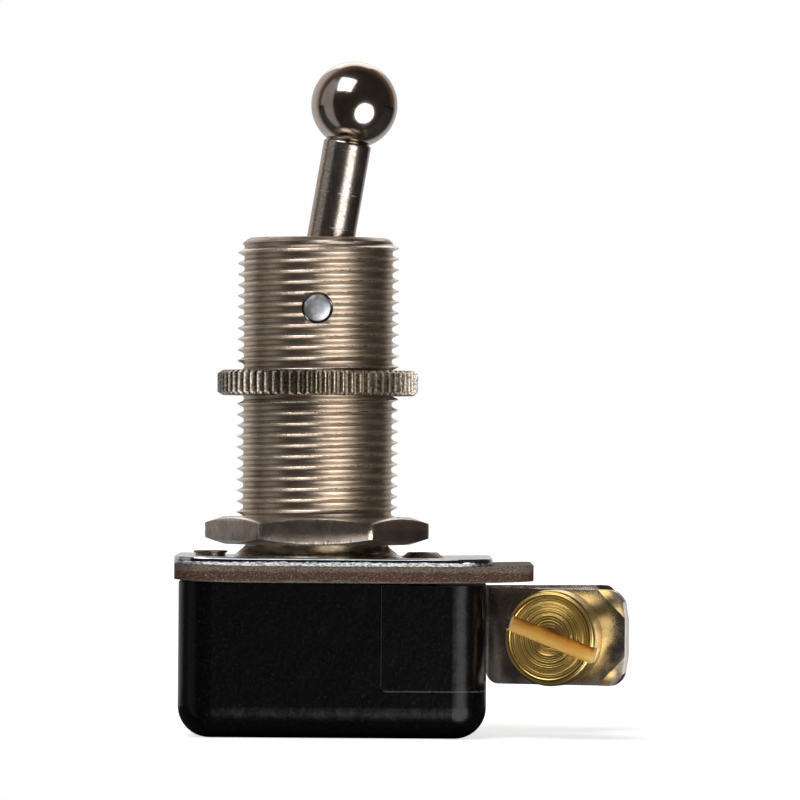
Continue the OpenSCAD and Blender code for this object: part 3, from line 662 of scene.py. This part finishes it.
def plain_metal(name, dark, light, rough, grain, scale=1.2):
    """A plated or bare small metal part with clouds, fine grain and a little polish."""
    g = Graph(name, light, 1, rough)
    own = g.place()
    cloud = g.noise(own, scale, 4, 0.65, 0.4)
    uneven = g.ramp(g.noise(own, 5, 3, 0.7), 0.3, 0.7, rough - 0.08, rough + 0.08)
    return g.finish(Base_Color=g.mix(g.ramp(cloud, 0.3, 0.7), dark, light), Roughness=uneven,
                    Normal=g.bump(g.noise(own, 8, 4, 0.7), grain))


def rocker_board():
    """Brown laminated board, layered along its thickness."""
    g = Graph("rocker_board", (0.16, 0.09, 0.06), 0, 0.6)
    layers = g.noise(g.place((5, 0.6, 0.6)), 1.6, 4, 0.7)
    tint = g.mix(g.ramp(layers, 0.3, 0.7), (0.09, 0.05, 0.03), (0.22, 0.13, 0.085))
    return g.finish(Base_Color=tint, Normal=g.bump(layers, 0.02))


# ---------------------------------------------------------------- turned parts

def thread_envelope(z):
    """The thread's outer limit: it runs out into the foot and is chamfered at the mouth."""
    low = FOOT_NECK + (THREAD_R - FOOT_NECK) * (z - FOOT_H) / RUNOUT_H
    high = THREAD_R - MOUTH_CHAMFER * (z - BUSHING_TOP + MOUTH_CHAMFER_H) / MOUTH_CHAMFER_H
    return min(low, high, THREAD_R)


def thread_point(angle_share, turns, height):
    """A (radius, height) point of the helix, at a share of a turn and a share of its depth."""
    z = min(max(FOOT_H + PITCH * (turns + angle_share), FOOT_H), BUSHING_TOP)
    if z in (FOOT_H, BUSHING_TOP):
        return thread_envelope(z), z
    return min(THREAD_ROOT + (THREAD_R - THREAD_ROOT) * height, thread_envelope(z)), z


def threaded_bushing():
    """The bushing with its helical thread, staked spigot, domed foot, bore and mouth."""
    n = 144
    # One pitch of the thread: share of the pitch and share of the thread's depth
    section = [(0.0, 0), (0.14, 0.02), (0.26, 0.24), (0.42, 0.86), (0.47, 0.98), (0.5, 1),
               (0.53, 0.98), (0.58, 0.86), (0.74, 0.24), (0.86, 0.02)]
    pitches = int((BUSHING_TOP - FOOT_H) / PITCH) + 2
    bm = bmesh.new()

    def vertex(i, r, z):
        return bm.verts.new((r * cos(2 * pi * i / n), r * sin(2 * pi * i / n), z))

    rows = [[vertex(i, *thread_point(i / n, turns + step, height)) for i in range(n + 1)]
            for turns in range(-1, pitches) for step, height in section]
    for low, high in zip(rows, rows[1:]):
        for i in range(n):
            bm.faces.new((low[i], low[i + 1], high[i + 1], high[i]))
    outside = [(SPIGOT_R, PLATE_LOW), (5.6, 0), (6.06, 0), (6.1, 0.04), (6.04, 0.14), (5.88, 0.3),
               (5.66, 0.47), (5.42, 0.65), (FOOT_NECK, FOOT_H)]
    mouth_z = BUSHING_TOP - MOUTH_H
    inside = [(THREAD_R - MOUTH_CHAMFER, BUSHING_TOP), (3.0, BUSHING_TOP),
              (2.8, BUSHING_TOP - 0.2), (MOUTH_R, mouth_z), (THROAT_R, mouth_z),
              (THROAT_R, THROAT_Z), (BORE_R, THROAT_Z), (BORE_R, LIP_LOW),
              (LIP_R - LIP_EDGE, LIP_LOW), (LIP_R, LIP_LOW + LIP_EDGE), (LIP_R, PLATE_LOW),
              (SPIGOT_R, PLATE_LOW)]
    for profile in (outside, inside):
        rings = [[vertex(i, r, z) for i in range(n)] for r, z in profile]
        for a, b in zip(rings, rings[1:]):
            bridge(bm, a, b)
    bmesh.ops.remove_doubles(bm, verts=bm.verts, dist=10 * WELD)
    bmesh.ops.dissolve_degenerate(bm, edges=bm.edges, dist=10 * WELD)
    bmesh.ops.recalc_face_normals(bm, faces=bm.faces)
    hole = rod(PIN_HOLE_R, -8, 8, 48)
    hole.transform(shift(0, 0, PIVOT_Z) @ turn(90, "X"))
    return cut(bm, hole)


def ball_lever():
    """The lever in its own frame: nib, tail, boss with its pin hole, stem, neck and ball."""
    end, edge = -TAIL_Z - NIB_H, 0.15
    tail = [(0, end), (NIB_R - edge, end), (NIB_R, end + edge), (NIB_R, -TAIL_Z),
            (TAIL_R - edge, -TAIL_Z), (TAIL_R, -TAIL_Z + edge)]
    low = math.degrees(math.acos(TAIL_R / BOSS_R))
    high = math.degrees(math.acos(STEM_R / BOSS_R))
    boss = arc(0, 0, BOSS_R, -low, high, 24)
    # Rings close to the stem's ends keep its shading straight between them.
    neck = BALL_Z - math.sqrt(BALL_R ** 2 - BALL_NECK_R ** 2)
    stem = [(STEM_R, BOSS_R * sin(math.radians(high)) + 0.1), (STEM_R, neck - 0.3),
            (STEM_R, neck - 0.2), (STEM_R - 0.03, neck - 0.12), (STEM_R - 0.12, neck - 0.07),
            (STEM_R - 0.2, neck - 0.04)]
    start = math.degrees(math.asin((neck - 0.02 - BALL_Z) / BALL_R))
    ball = arc(0, BALL_Z, BALL_R, start, 90, 48)
    # The last point has to be exactly on the axis, where the turned mesh closes.
    ball[-1] = (0, BALL_Z + BALL_R)
    pin = rod(PIN_R + RUNNING, -6, 6, 48)
    pin.transform(turn(90, "X"))
    return cut(lathe(tail + boss + stem + ball, 128), pin)


def pivot_pin():
    """A cross pin with lightly peened, domed ends."""
    end = [(0, PIN_REACH), (0.45, PIN_REACH - 0.01), (0.8, PIN_REACH - 0.045),
           (0.95, PIN_REACH - 0.11), (PIN_R, PIN_REACH - 0.26)]
    return lathe([(r, -z) for r, z in end] + end[::-1], 64)


def nut(outline, face_r, thick):
    """A nut with a countersunk bore and flat faces out to face_r. The outline has (angle, radius,
    inset) all round: the side ends that far inside either face."""
    bm = bmesh.new()

    def ring(r, z):
        return [bm.verts.new((r * cos(a), r * sin(a), z)) for a, _, _ in outline]

    def side(level):
        return [bm.verts.new((r * cos(a), r * sin(a), level(inset))) for a, r, inset in outline]

    rings = [ring(NUT_BORE, COUNTERSINK), ring(NUT_BORE + COUNTERSINK, 0), ring(face_r, 0),
             side(lambda inset: inset), side(lambda inset: thick - inset),
             ring(face_r, thick), ring(NUT_BORE + COUNTERSINK, thick),
             ring(NUT_BORE, thick - COUNTERSINK)]
    for a, b in zip(rings, rings[1:] + rings[:1]):
        bridge(bm, a, b)
    bmesh.ops.recalc_face_normals(bm, faces=bm.faces)
    return bm


def hexagon_nut():
    """The hex nut, whose conical chamfers cut back its corners at both faces."""
    n = 144
    face_r = HEX_FLATS / 2 - HEX_CHAMFER
    outline = []
    for i in range(n):
        a = 2 * pi * i / n
        r = HEX_FLATS / 2 / cos((a % (pi / 3)) - pi / 6)
        outline.append((a, r, HEX_CHAMFER_H * (r - face_r) / (HEX_CORNER - face_r)))
    return bevel(nut(outline, face_r, HEX_T), 0.05, 14)


def toothed_nut():
    """The knurled ring nut: straight teeth with rounded crests and chamfered ends."""
    # One tooth: share of the tooth's width and share of its height
    tooth = [(0, 0), (0.16, 0.04), (0.32, 0.4), (0.42, 0.92), (0.46, 1), (0.54, 1),
             (0.58, 0.92), (0.68, 0.4), (0.84, 0.04)]
    root = KNURL_R - TOOTH_H
    outline = [(2 * pi * (i + step) / TEETH, root + TOOTH_H * rise, 0.04 + 0.2 * rise)
               for i in range(TEETH) for step, rise in tooth]
    return nut(outline, root - 0.03, KNURL_T)


def rivet(head):
    """A rivet whose lower head is sunk in the case and whose top profile is given."""
    head_r, head_t = RIVET_R + 0.45, 0.65
    under = [(0, RIVET_LOW), (1.3, RIVET_LOW), (1.45, RIVET_LOW + 0.06), (head_r, RIVET_LOW + 0.2),
             (head_r, RIVET_LOW + head_t - 0.03), (1.5, RIVET_LOW + head_t),
             (RIVET_R, RIVET_LOW + head_t)]
    return lathe(under + head, 48)


def slotted_screw():
    """In its own frame: the head's bearing face is z = 0 and its slot runs along x."""
    tip, groove, neck, unthreaded = 0.4, 0.26, 0.5, 1.2
    body = [(0, -SCREW_LEN), (SCREW_R - tip, -SCREW_LEN), (SCREW_R, -SCREW_LEN + tip)]
    for i in range(int((SCREW_LEN - unthreaded) / SCREW_PITCH)):
        z = -SCREW_LEN + tip + 0.05 + SCREW_PITCH * i
        body += [(SCREW_R, z), (SCREW_R - groove, z + SCREW_PITCH / 2)]
    top, edge = SCREW_HEAD_T, SCREW_HEAD_EDGE
    head = ([(SCREW_R, -neck), (SCREW_R, 0), (SCREW_HEAD_R - 0.08, 0), (SCREW_HEAD_R, 0.08)]
            + arc(SCREW_HEAD_R - edge, top - edge, edge, 0, 90, 5))
    face = [(3.0, top), (2.97, top - 0.02), (2.45, top - 0.02), (2.42, top - 0.01),
            (1.24, top - 0.01), (1.16, top - 0.07), (0.3, top - 0.07), (0, top - 0.08)]
    # The slot's cutter reaches past the head on both sides.
    slot = prism(rectangle(-5, 5, -SLOT_W / 2, SLOT_W / 2), top - SLOT_D, top + 1)
    return bevel(cut(lathe(body + head + face, 128), slot), 0.035, 50)


def spring_coil():
    """The toggle spring as a true wound wire between its two seats, along one smooth curve."""
    sides, steps = 10, 20 * SPRING_TURNS
    top_way = Vector((-sin(math.radians(LEAN)), 0, -cos(math.radians(LEAN))))
    low_way = Vector((0, 0, -1))
    pull = 0.9 * (SPRING_TOP.z - SPRING_LOW.z)
    bm = bmesh.new()
    rings = []
    for i in range(steps + 1):
        t = i / steps
        at = ((2 * t ** 3 - 3 * t * t + 1) * SPRING_TOP
              + (t ** 3 - 2 * t * t + t) * pull * top_way
              + (3 * t * t - 2 * t ** 3) * SPRING_LOW + (t ** 3 - t * t) * pull * low_way)
        way = ((6 * t * t - 6 * t) * SPRING_TOP + (3 * t * t - 4 * t + 1) * pull * top_way
               + (6 * t - 6 * t * t) * SPRING_LOW
               + (3 * t * t - 2 * t) * pull * low_way).normalized()
        across = Vector((way.z, 0, -way.x))
        a = 2 * pi * SPRING_TURNS * t
        out = across * cos(a) + Vector((0, 1, 0)) * sin(a)
        centre = at + out * SPRING_R
        rings.append([bm.verts.new(centre + WIRE_R * (out * cos(b) + way * sin(b)))
                      for b in [2 * pi * j / sides for j in range(sides)]])
    for a, b in zip(rings, rings[1:]):
        bridge(bm, a, b)
    bm.faces.new(rings[0])
    bm.faces.new(rings[-1])
    bmesh.ops.recalc_face_normals(bm, faces=bm.faces)
    return bm


# ---------------------------------------------------------------- sheet and moulded parts

def dish(bm):
    """Riveting has bowed the plate and the insulator: both ends stand up a little."""
    left_from, left_rise, right_from, right_rise = 4.5, 0.005, 6, 0.0019
    slice_along(bm, [0.75 * i for i in range(-13, 21)])
    for v in bm.verts:
        left, right = max(0, -v.co.x - left_from), max(0, v.co.x - right_from)
        v.co.z += left_rise * left ** 2 + right_rise * right ** 2
    return bm


def flat_plate(node, bushing_hole, top_edge, low_edge):
    """A plate as large as its CAD node, with rounded corners, its holes and its rounded edges."""
    (x0, x1), (y0, y1), (z0, z1) = [span(node, axis) for axis in "xyz"]
    bm = prism(rounded(x0, x1, y0, y1, CASE_CORNER, 12), z0, z1)
    for z, width in ((z1, top_edge), (z0, low_edge)):
        rim = [e for e in bm.edges if all(abs(v.co.z - z) < WELD for v in e.verts)]
        bmesh.ops.bevel(bm, geom=rim, offset=width, segments=3, profile=0.5, affect="EDGES")
    tools = []
    for x, r in ((-RIVET_X, RIVET_R + RUNNING), (RIVET_X, RIVET_R + RUNNING), (0, bushing_hole)):
        tools.append(rod(r, z0 - 1, z1 + 1, 72))
        tools[-1].transform(shift(x, 0, 0))
    return dish(cut(bm, *tools))


def parting_lip():
    """The lip behind the joint of case and block, in the front and the back wall."""
    reach, thick, inside = 0.35, 0.5, CASE_BACK - CASE_WALL
    bm = bmesh.new()
    for side in (-1, 1):
        y0, y1 = sorted((side * inside, side * (inside + thick)))
        for x0, x1, z0, z1 in (
                (BLOCK_LEFT - reach, BLOCK_LEFT + reach, BLOCK_BOTTOM - reach, CASE_TOP - 0.2),
                (BLOCK_LEFT, CASE_RIGHT - 1.6, BLOCK_BOTTOM - reach, BLOCK_BOTTOM + reach)):
            join(bm, bevel(prism(rectangle(x0, x1, y0, y1), z0, z1), 0.05))
    return bm


def lug_place():
    """From the front lug's own frame, as in its flat plate, to the part's frame."""
    return (shift(CASE_RIGHT, -STRAP_Y - STRAP_T / 2 - BEND_R, 0) @ turn(-SPLAY, "Z")
            @ shift(0, BEND_R, 0))


def screw_place():
    """From a frame on the front lug's outer face, at the screw, to the part's frame."""
    return lug_place() @ shift(SCREW_REACH, 0, SCREW_Z)


# The lug's folded corners: a point on each fold of the flat plate, and the way out to the corner
FOLDS = [(Vector((LUG_END - GUARD_LEG, 0, level)), Vector((1, 0, way)).normalized())
         for level, way in ((0, 1), (-LUG_H, -1))]


def terminal_blank():
    """The front terminal as one flat face, with edges where it will be bent and folded."""
    left = -CASE_RIGHT + PAD_X - PAD_W + STRAP_T
    outline = ([(left, 0)]
               + arc(LUG_END - LUG_CORNER, -LUG_CORNER, LUG_CORNER, 90, 0, 8)
               + arc(LUG_END - LUG_CORNER, LUG_CORNER - LUG_H, LUG_CORNER, 0, -90, 8)
               + arc(LUG_ROOT, LUG_ROOT - LUG_H, LUG_ROOT, -90, -180, 6)
               + [(0, -STRAP_H), (left, -STRAP_H)])
    bm = bmesh.new()
    bm.faces.new([bm.verts.new((u, 0, v)) for u, v in outline])
    slice_along(bm, [PAD_U] + [BEND_LEN * i / 5 for i in range(6)])
    for point, normal in FOLDS:
        for back in (0, GUARD_CREASE):
            slice_at(bm, point + normal * back, normal)
    return bm


def bend(bm):
    """Bends the blank: the pad inwards, the lug out by its splay and its corners outwards."""
    front = -STRAP_Y - STRAP_T / 2
    for v in bm.verts:
        u, lift, height = v.co.x, 0.0, v.co.z
        for point, normal in FOLDS:
            lift += max(0, (v.co - point).dot(normal)) * math.tan(math.radians(GUARD_FOLD))
        if u <= PAD_U:
            v.co = (PAD_X, front + PAD_U - u, height)
        elif u <= 0:
            v.co = (CASE_RIGHT + u, front, height)
        else:
            a = min(u, BEND_LEN) / BEND_R
            past = max(0, u - BEND_LEN)
            v.co = (CASE_RIGHT + BEND_R * sin(a) + past * cos(a) - lift * sin(a),
                    front - BEND_R + BEND_R * cos(a) - past * sin(a) - lift * cos(a), height)
    bm.transform(shift(0, 0, STRAP_TOP))
    bmesh.ops.recalc_face_normals(bm, faces=bm.faces)
    lug = [f for f in bm.faces if f.calc_center_median().x > CASE_RIGHT + 1]
    if sum(f.normal.y for f in lug) > 0:
        bmesh.ops.reverse_faces(bm, faces=bm.faces)
    return bm


def thickened(bm):
    """The bent sheet with its thickness, behind the outer face."""
    sheet = temporary(bm)
    solid = sheet.modifiers.new("thick", "SOLIDIFY")
    solid.thickness, solid.offset, solid.use_even_offset = STRAP_T, -1, True
    return applied(sheet)


def trim_lug(bm):
    """Takes the lug back inside its flat plate's outline, which the folds had left."""
    to_lug = lug_place() @ shift(0, 0, STRAP_TOP)
    for v in bm.verts:
        flat = to_lug.inverted() @ v.co
        # Points within a millimetre of the bend are right as they are.
        if flat.x > 1:
            flat.x, flat.z = min(flat.x, LUG_LEN), max(min(flat.z, 0), -LUG_H)
            for way, level in ((1, -LUG_CORNER), (-1, LUG_CORNER - LUG_H)):
                centre = Vector((LUG_LEN - LUG_CORNER, flat.y, level))
                off = flat - centre
                if off.x > 0 and off.z * way > 0 and off.length > LUG_CORNER:
                    flat = centre + off * (LUG_CORNER / off.length)
            v.co = to_lug @ flat
    return bm


def bent_terminal():
    """The front terminal from one sheet: pad, strap, root bend, lug, folded corners and collar."""
    bore, outer, edge = SCREW_R + RUNNING, SCREW_R + 0.75, 0.1
    back, end = -STRAP_T + 0.02, -STRAP_T - 0.9
    hole = rod(bore, -2, 2, 72)
    collar = lathe([(bore, back), (bore, end + edge), (bore + edge, end), (outer - edge, end),
                    (outer, end + edge), (outer, back)], 72, closed=True)
    for turned in (hole, collar):
        turned.transform(screw_place() @ turn(90, "X"))
    sheet = trim_lug(thickened(bend(terminal_blank())))
    return join(bevel(cut(sheet, hole), 0.05, 40), collar)


# ---------------------------------------------------------------- the pieces

piece("threaded_bushing", threaded_bushing(), "housing", "bushing", satin_nickel(),
      "bushing", smooth=38)
piece("ball_lever", ball_lever(), "lever", "lever", nickel_lever(), "lever",
      smooth=40, place=shift(0, 0, PIVOT_Z) @ turn(LEAN, "Y"))
steel_pin = plain_metal("pin_steel", (0.38, 0.40, 0.43), (0.60, 0.63, 0.67), 0.42, 0.012, 2.6)
piece("cross_pin", pivot_pin(), "housing", "pin", steel_pin, "pivot_pin",
      place=shift(0, 0, PIVOT_Z) @ turn(90, "X"))
piece("hexagon_nut", hexagon_nut(), "hex_nut", "hex_nut", hexagon_nickel(), "hex_nut",
      smooth=30, place=shift(0, 0, HEX_Z))
piece("toothed_nut", toothed_nut(), "knurled_nut", "knurled_nut", toothed_nickel(), "knurled_nut",
      smooth=38, place=shift(0, 0, KNURL_Z))

dark_bronze = plain_metal("rivet_bronze", (0.20, 0.17, 0.13), (0.46, 0.40, 0.33), 0.32, 0.02, 1.8)
# The upper ends of the rivets: the left one is set as a disc, the right one as a cone.
disc_head = [(RIVET_R, 0.24), (1.2, 0.25), (1.26, 0.3), (1.26, 0.38), (1.2, 0.43), (0.6, 0.44),
             (0.55, 0.4), (0, 0.38)]
cone_head = [(RIVET_R, 0), (1.52, 0), (1.55, 0.03), (1.14, 0.36), (1.06, 0.4), (0.6, 0.4),
             (0.52, 0.34), (0, 0.3)]
for side, head, x in (("left", disc_head, -RIVET_X), ("right", cone_head, RIVET_X)):
    piece(side + "_rivet", rivet(head), "housing", "rivet", dark_bronze, "rivet_" + side,
          place=shift(x, 0, 0))

piece("steel_plate", flat_plate("mounting_plate", SPIGOT_R + SEAT, 0.12, 0.05),
      "housing", "zinc_plate", zinc_plate(), "mounting_plate")
piece("fibre_insulator", flat_plate("insulator_plate", LIP_R + LIP_SPACE, 0.07, 0.07),
      "housing", "fibre", vulcanised_fibre(), "insulator_plate")

sheet_nickel = terminal_metal()
for side, sign in (("front", 1), ("rear", -1)):
    lug, head = bent_terminal(), slotted_screw()
    head.transform(screw_place() @ turn(SLOT_TURN[side], "Y") @ turn(90, "X"))
    if side == "rear":
        lug, head = mirrored(lug), mirrored(head)
    piece(side + "_lug", lug, "housing", "terminal", sheet_nickel, side + "_terminal", smooth=30)
    piece(side + "_screw_head", head, side + "_screw", "terminal_screw", screw_brass(side, sign),
          side + "_terminal_screw", smooth=30)

# The spring bends between two bodies, so it leaves the one that piece() put it on.
spring = piece("wound_spring", spring_coil(), "lever", "spring",
               plain_metal("spring_wire", (0.42, 0.43, 0.45), (0.62, 0.63, 0.65), 0.28, 0.01),
               "toggle_spring", smooth=60)
spring.parent = None
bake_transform(spring)

case_finish = phenolic("case_phenolic", (0.0019, 0.0016, 0.0021))
piece("parting_lip", parting_lip(), "housing", "case", case_finish)

# The CAD nodes whose shapes are right keep their meshes and take these materials.
silver = plain_metal("contact_silver", (0.62, 0.61, 0.59), (0.82, 0.81, 0.79), 0.3, 0.01)
bronze = plain_metal("bridge_bronze", (0.46, 0.27, 0.13), (0.66, 0.42, 0.22), 0.3, 0.01)
finishes = {
    "case": case_finish,
    "terminal_block": phenolic("block_phenolic", (0.0021, 0.0018, 0.0024), edges=True),
    "rocker": rocker_board(),
    "rocker_pin": steel_pin,
    "bridge_strip": bronze,
    "front_fixed_contact": silver,
    "rear_fixed_contact": silver,
    "front_moving_contact": silver,
    "rear_moving_contact": silver,
}
for name, material in finishes.items():
    mesh = nodes[name].data
    mesh.materials.clear()
    mesh.materials.append(material)


# ---------------------------------------------------------------- camera, light and floor

# The camera looks squarely at the front through a long lens, and is rolled a little. Metres.
CAMERA_PLACE, CAMERA_ROLL = (0.00607, -0.463, 0.008625), 0.4
LAMP_AIM = Vector((0, 0, 0.012))
# What metal sees of the world, by how far its reflection points back and a little to the left:
# the warm part and the white part each start at the first figure and are full at the second.
LEFT_SHARE = 0.2
WARM_FROM, WHITE_FROM = (0.15, 0.5), (0.5, 0.72)
DIM, WARM, BEHIND = (0.032, 0.028, 0.026), (0.15, 0.095, 0.06), 0.55
# A grey card at the far left: its two edges, in degrees, and its top and bottom edge
CARD_NEAR, CARD_FAR, CARD_TOP, CARD_TONE = (-57, -62), (-101, -97), (0.85, 0.75), 0.3
# The floor starts a little in front of the case, so that it doesn't stand in the low fill's way.
# It fades into white between two distances. Metres.
FLOOR_FRONT, FLOOR_REACH, FLOOR_DEPTH = -0.0085, 3, -0.03
FLOOR_FADE, FLOOR_GLOW = (0.05, 0.2), 0.75
FLOOR_TONE, FLOOR_TONE_IN_METAL = 0.86, 0.1

scene = bpy.context.scene
scene.view_settings.view_transform = "Standard"

camera_data = bpy.data.cameras.new("camera")
camera_data.sensor_width = 36
camera_data.lens = 283.4
camera_data.shift_y = 0.05
camera = bpy.data.objects.new("camera", camera_data)
camera.matrix_world = shift(*CAMERA_PLACE) @ turn(90, "X") @ turn(CAMERA_ROLL, "Z")
scene.collection.objects.link(camera)
scene.camera = camera


def lamp(name, place, size, power, color=(1, 1, 1), shape="SQUARE"):
    """An area lamp at a place in metres, facing the middle of the part."""
    data = bpy.data.lights.new(name, "AREA")
    data.shape = shape
    data.size, data.energy, data.color = size, power, color
    obj = bpy.data.objects.new(name, data)
    obj.location = place
    obj.rotation_euler = (LAMP_AIM - Vector(place)).to_track_quat("-Z", "Y").to_euler()
    scene.collection.objects.link(obj)


# A large key from the upper left, a low fill from the front right and a weak lamp behind
lamp("key", (-0.295, -0.487, 0.771), size=0.62, power=5.0)
lamp("low_fill", (0.44, -0.76, -0.37), size=0.92, power=8.4, color=(1.0, 0.98, 0.95), shape="DISK")
lamp("back", (0.0, 0.8, 0.6), size=0.6, power=1.2)


def studio_world():
    """White for the camera. Metal sees it white behind the part, warm round that and dim
    everywhere else, with the grey card."""
    world = bpy.data.worlds.new("studio")
    world.use_nodes = True
    w = Wiring(world.node_tree)
    camera_ray, mirror_ray = w.rays()
    x, y, z = w.split(w.node("TexCoord").outputs["Generated"])
    reach = w.math("SUBTRACT", y, w.times(x, LEFT_SHARE))
    azimuth = w.math("DEGREES", w.math("ARCTAN2", x, w.times(y, -1)))
    card = w.times(w.ramp(azimuth, *CARD_NEAR, 0, CARD_TONE), w.ramp(azimuth, *CARD_FAR))
    card = w.times(card, w.ramp(w.math("ABSOLUTE", z), *CARD_TOP))
    shown = w.times(mirror_ray, w.larger(w.ramp(reach, *WHITE_FROM, 0, BEHIND), card))
    dim = w.mix(w.times(mirror_ray, w.ramp(reach, *WARM_FROM)), DIM, WARM)
    colour = w.mix(w.larger(camera_ray, shown), dim, (1, 1, 1))
    w.set(world.node_tree.nodes["Background"], Color=colour, Strength=1)
    return world


def floor_paint():
    """Pale paint that takes the part's shadow and fades into the white background. In metal it
    shows as the world behind it would."""
    material = bpy.data.materials.new("pale_floor")
    material.use_nodes = True
    f = Wiring(material.node_tree)
    f.tree.nodes.remove(f.tree.nodes["Principled BSDF"])
    camera_ray, mirror_ray = f.rays()
    spot = f.vector("MULTIPLY", f.node("TexCoord").outputs["Object"], (1, 1, 0))
    far = f.ramp(f.vector("LENGTH", spot, output="Value"), *FLOOR_FADE)
    seen = f.times(camera_ray, f.ramp(far, 0, 1, FLOOR_GLOW, 1))
    way = f.vector("NORMALIZE", f.vector("ADD", spot, (0, 0, FLOOR_DEPTH)))
    reach = f.vector("DOT_PRODUCT", way, (-LEFT_SHARE, 1, 0), output="Value")
    in_metal = f.times(mirror_ray, f.ramp(reach, *WHITE_FROM, 0, BEHIND))
    tone = f.ramp(mirror_ray, 0, 1, FLOOR_TONE, FLOOR_TONE_IN_METAL)
    paint = f.node("BsdfDiffuse", Color=tone).outputs[0]
    glow = f.node("Emission", Color=(1, 1, 1, 1), Strength=f.larger(seen, in_metal)).outputs[0]
    both = f.node("AddShader", i0=paint, i1=glow).outputs[0]
    f.set(f.tree.nodes["Material Output"], Surface=both)
    return material


scene.world = studio_world()

floor_bm = bmesh.new()
bmesh.ops.create_grid(floor_bm, x_segments=8, y_segments=8, size=FLOOR_REACH)
floor_mesh = bpy.data.meshes.new("floor")
floor_bm.to_mesh(floor_mesh)
floor_bm.free()
floor_mesh.transform(shift(0, FLOOR_REACH + FLOOR_FRONT, cad_box[0].z))
floor_mesh.materials.append(floor_paint())
floor = bpy.data.objects.new("floor", floor_mesh)
scene.collection.objects.link(floor)
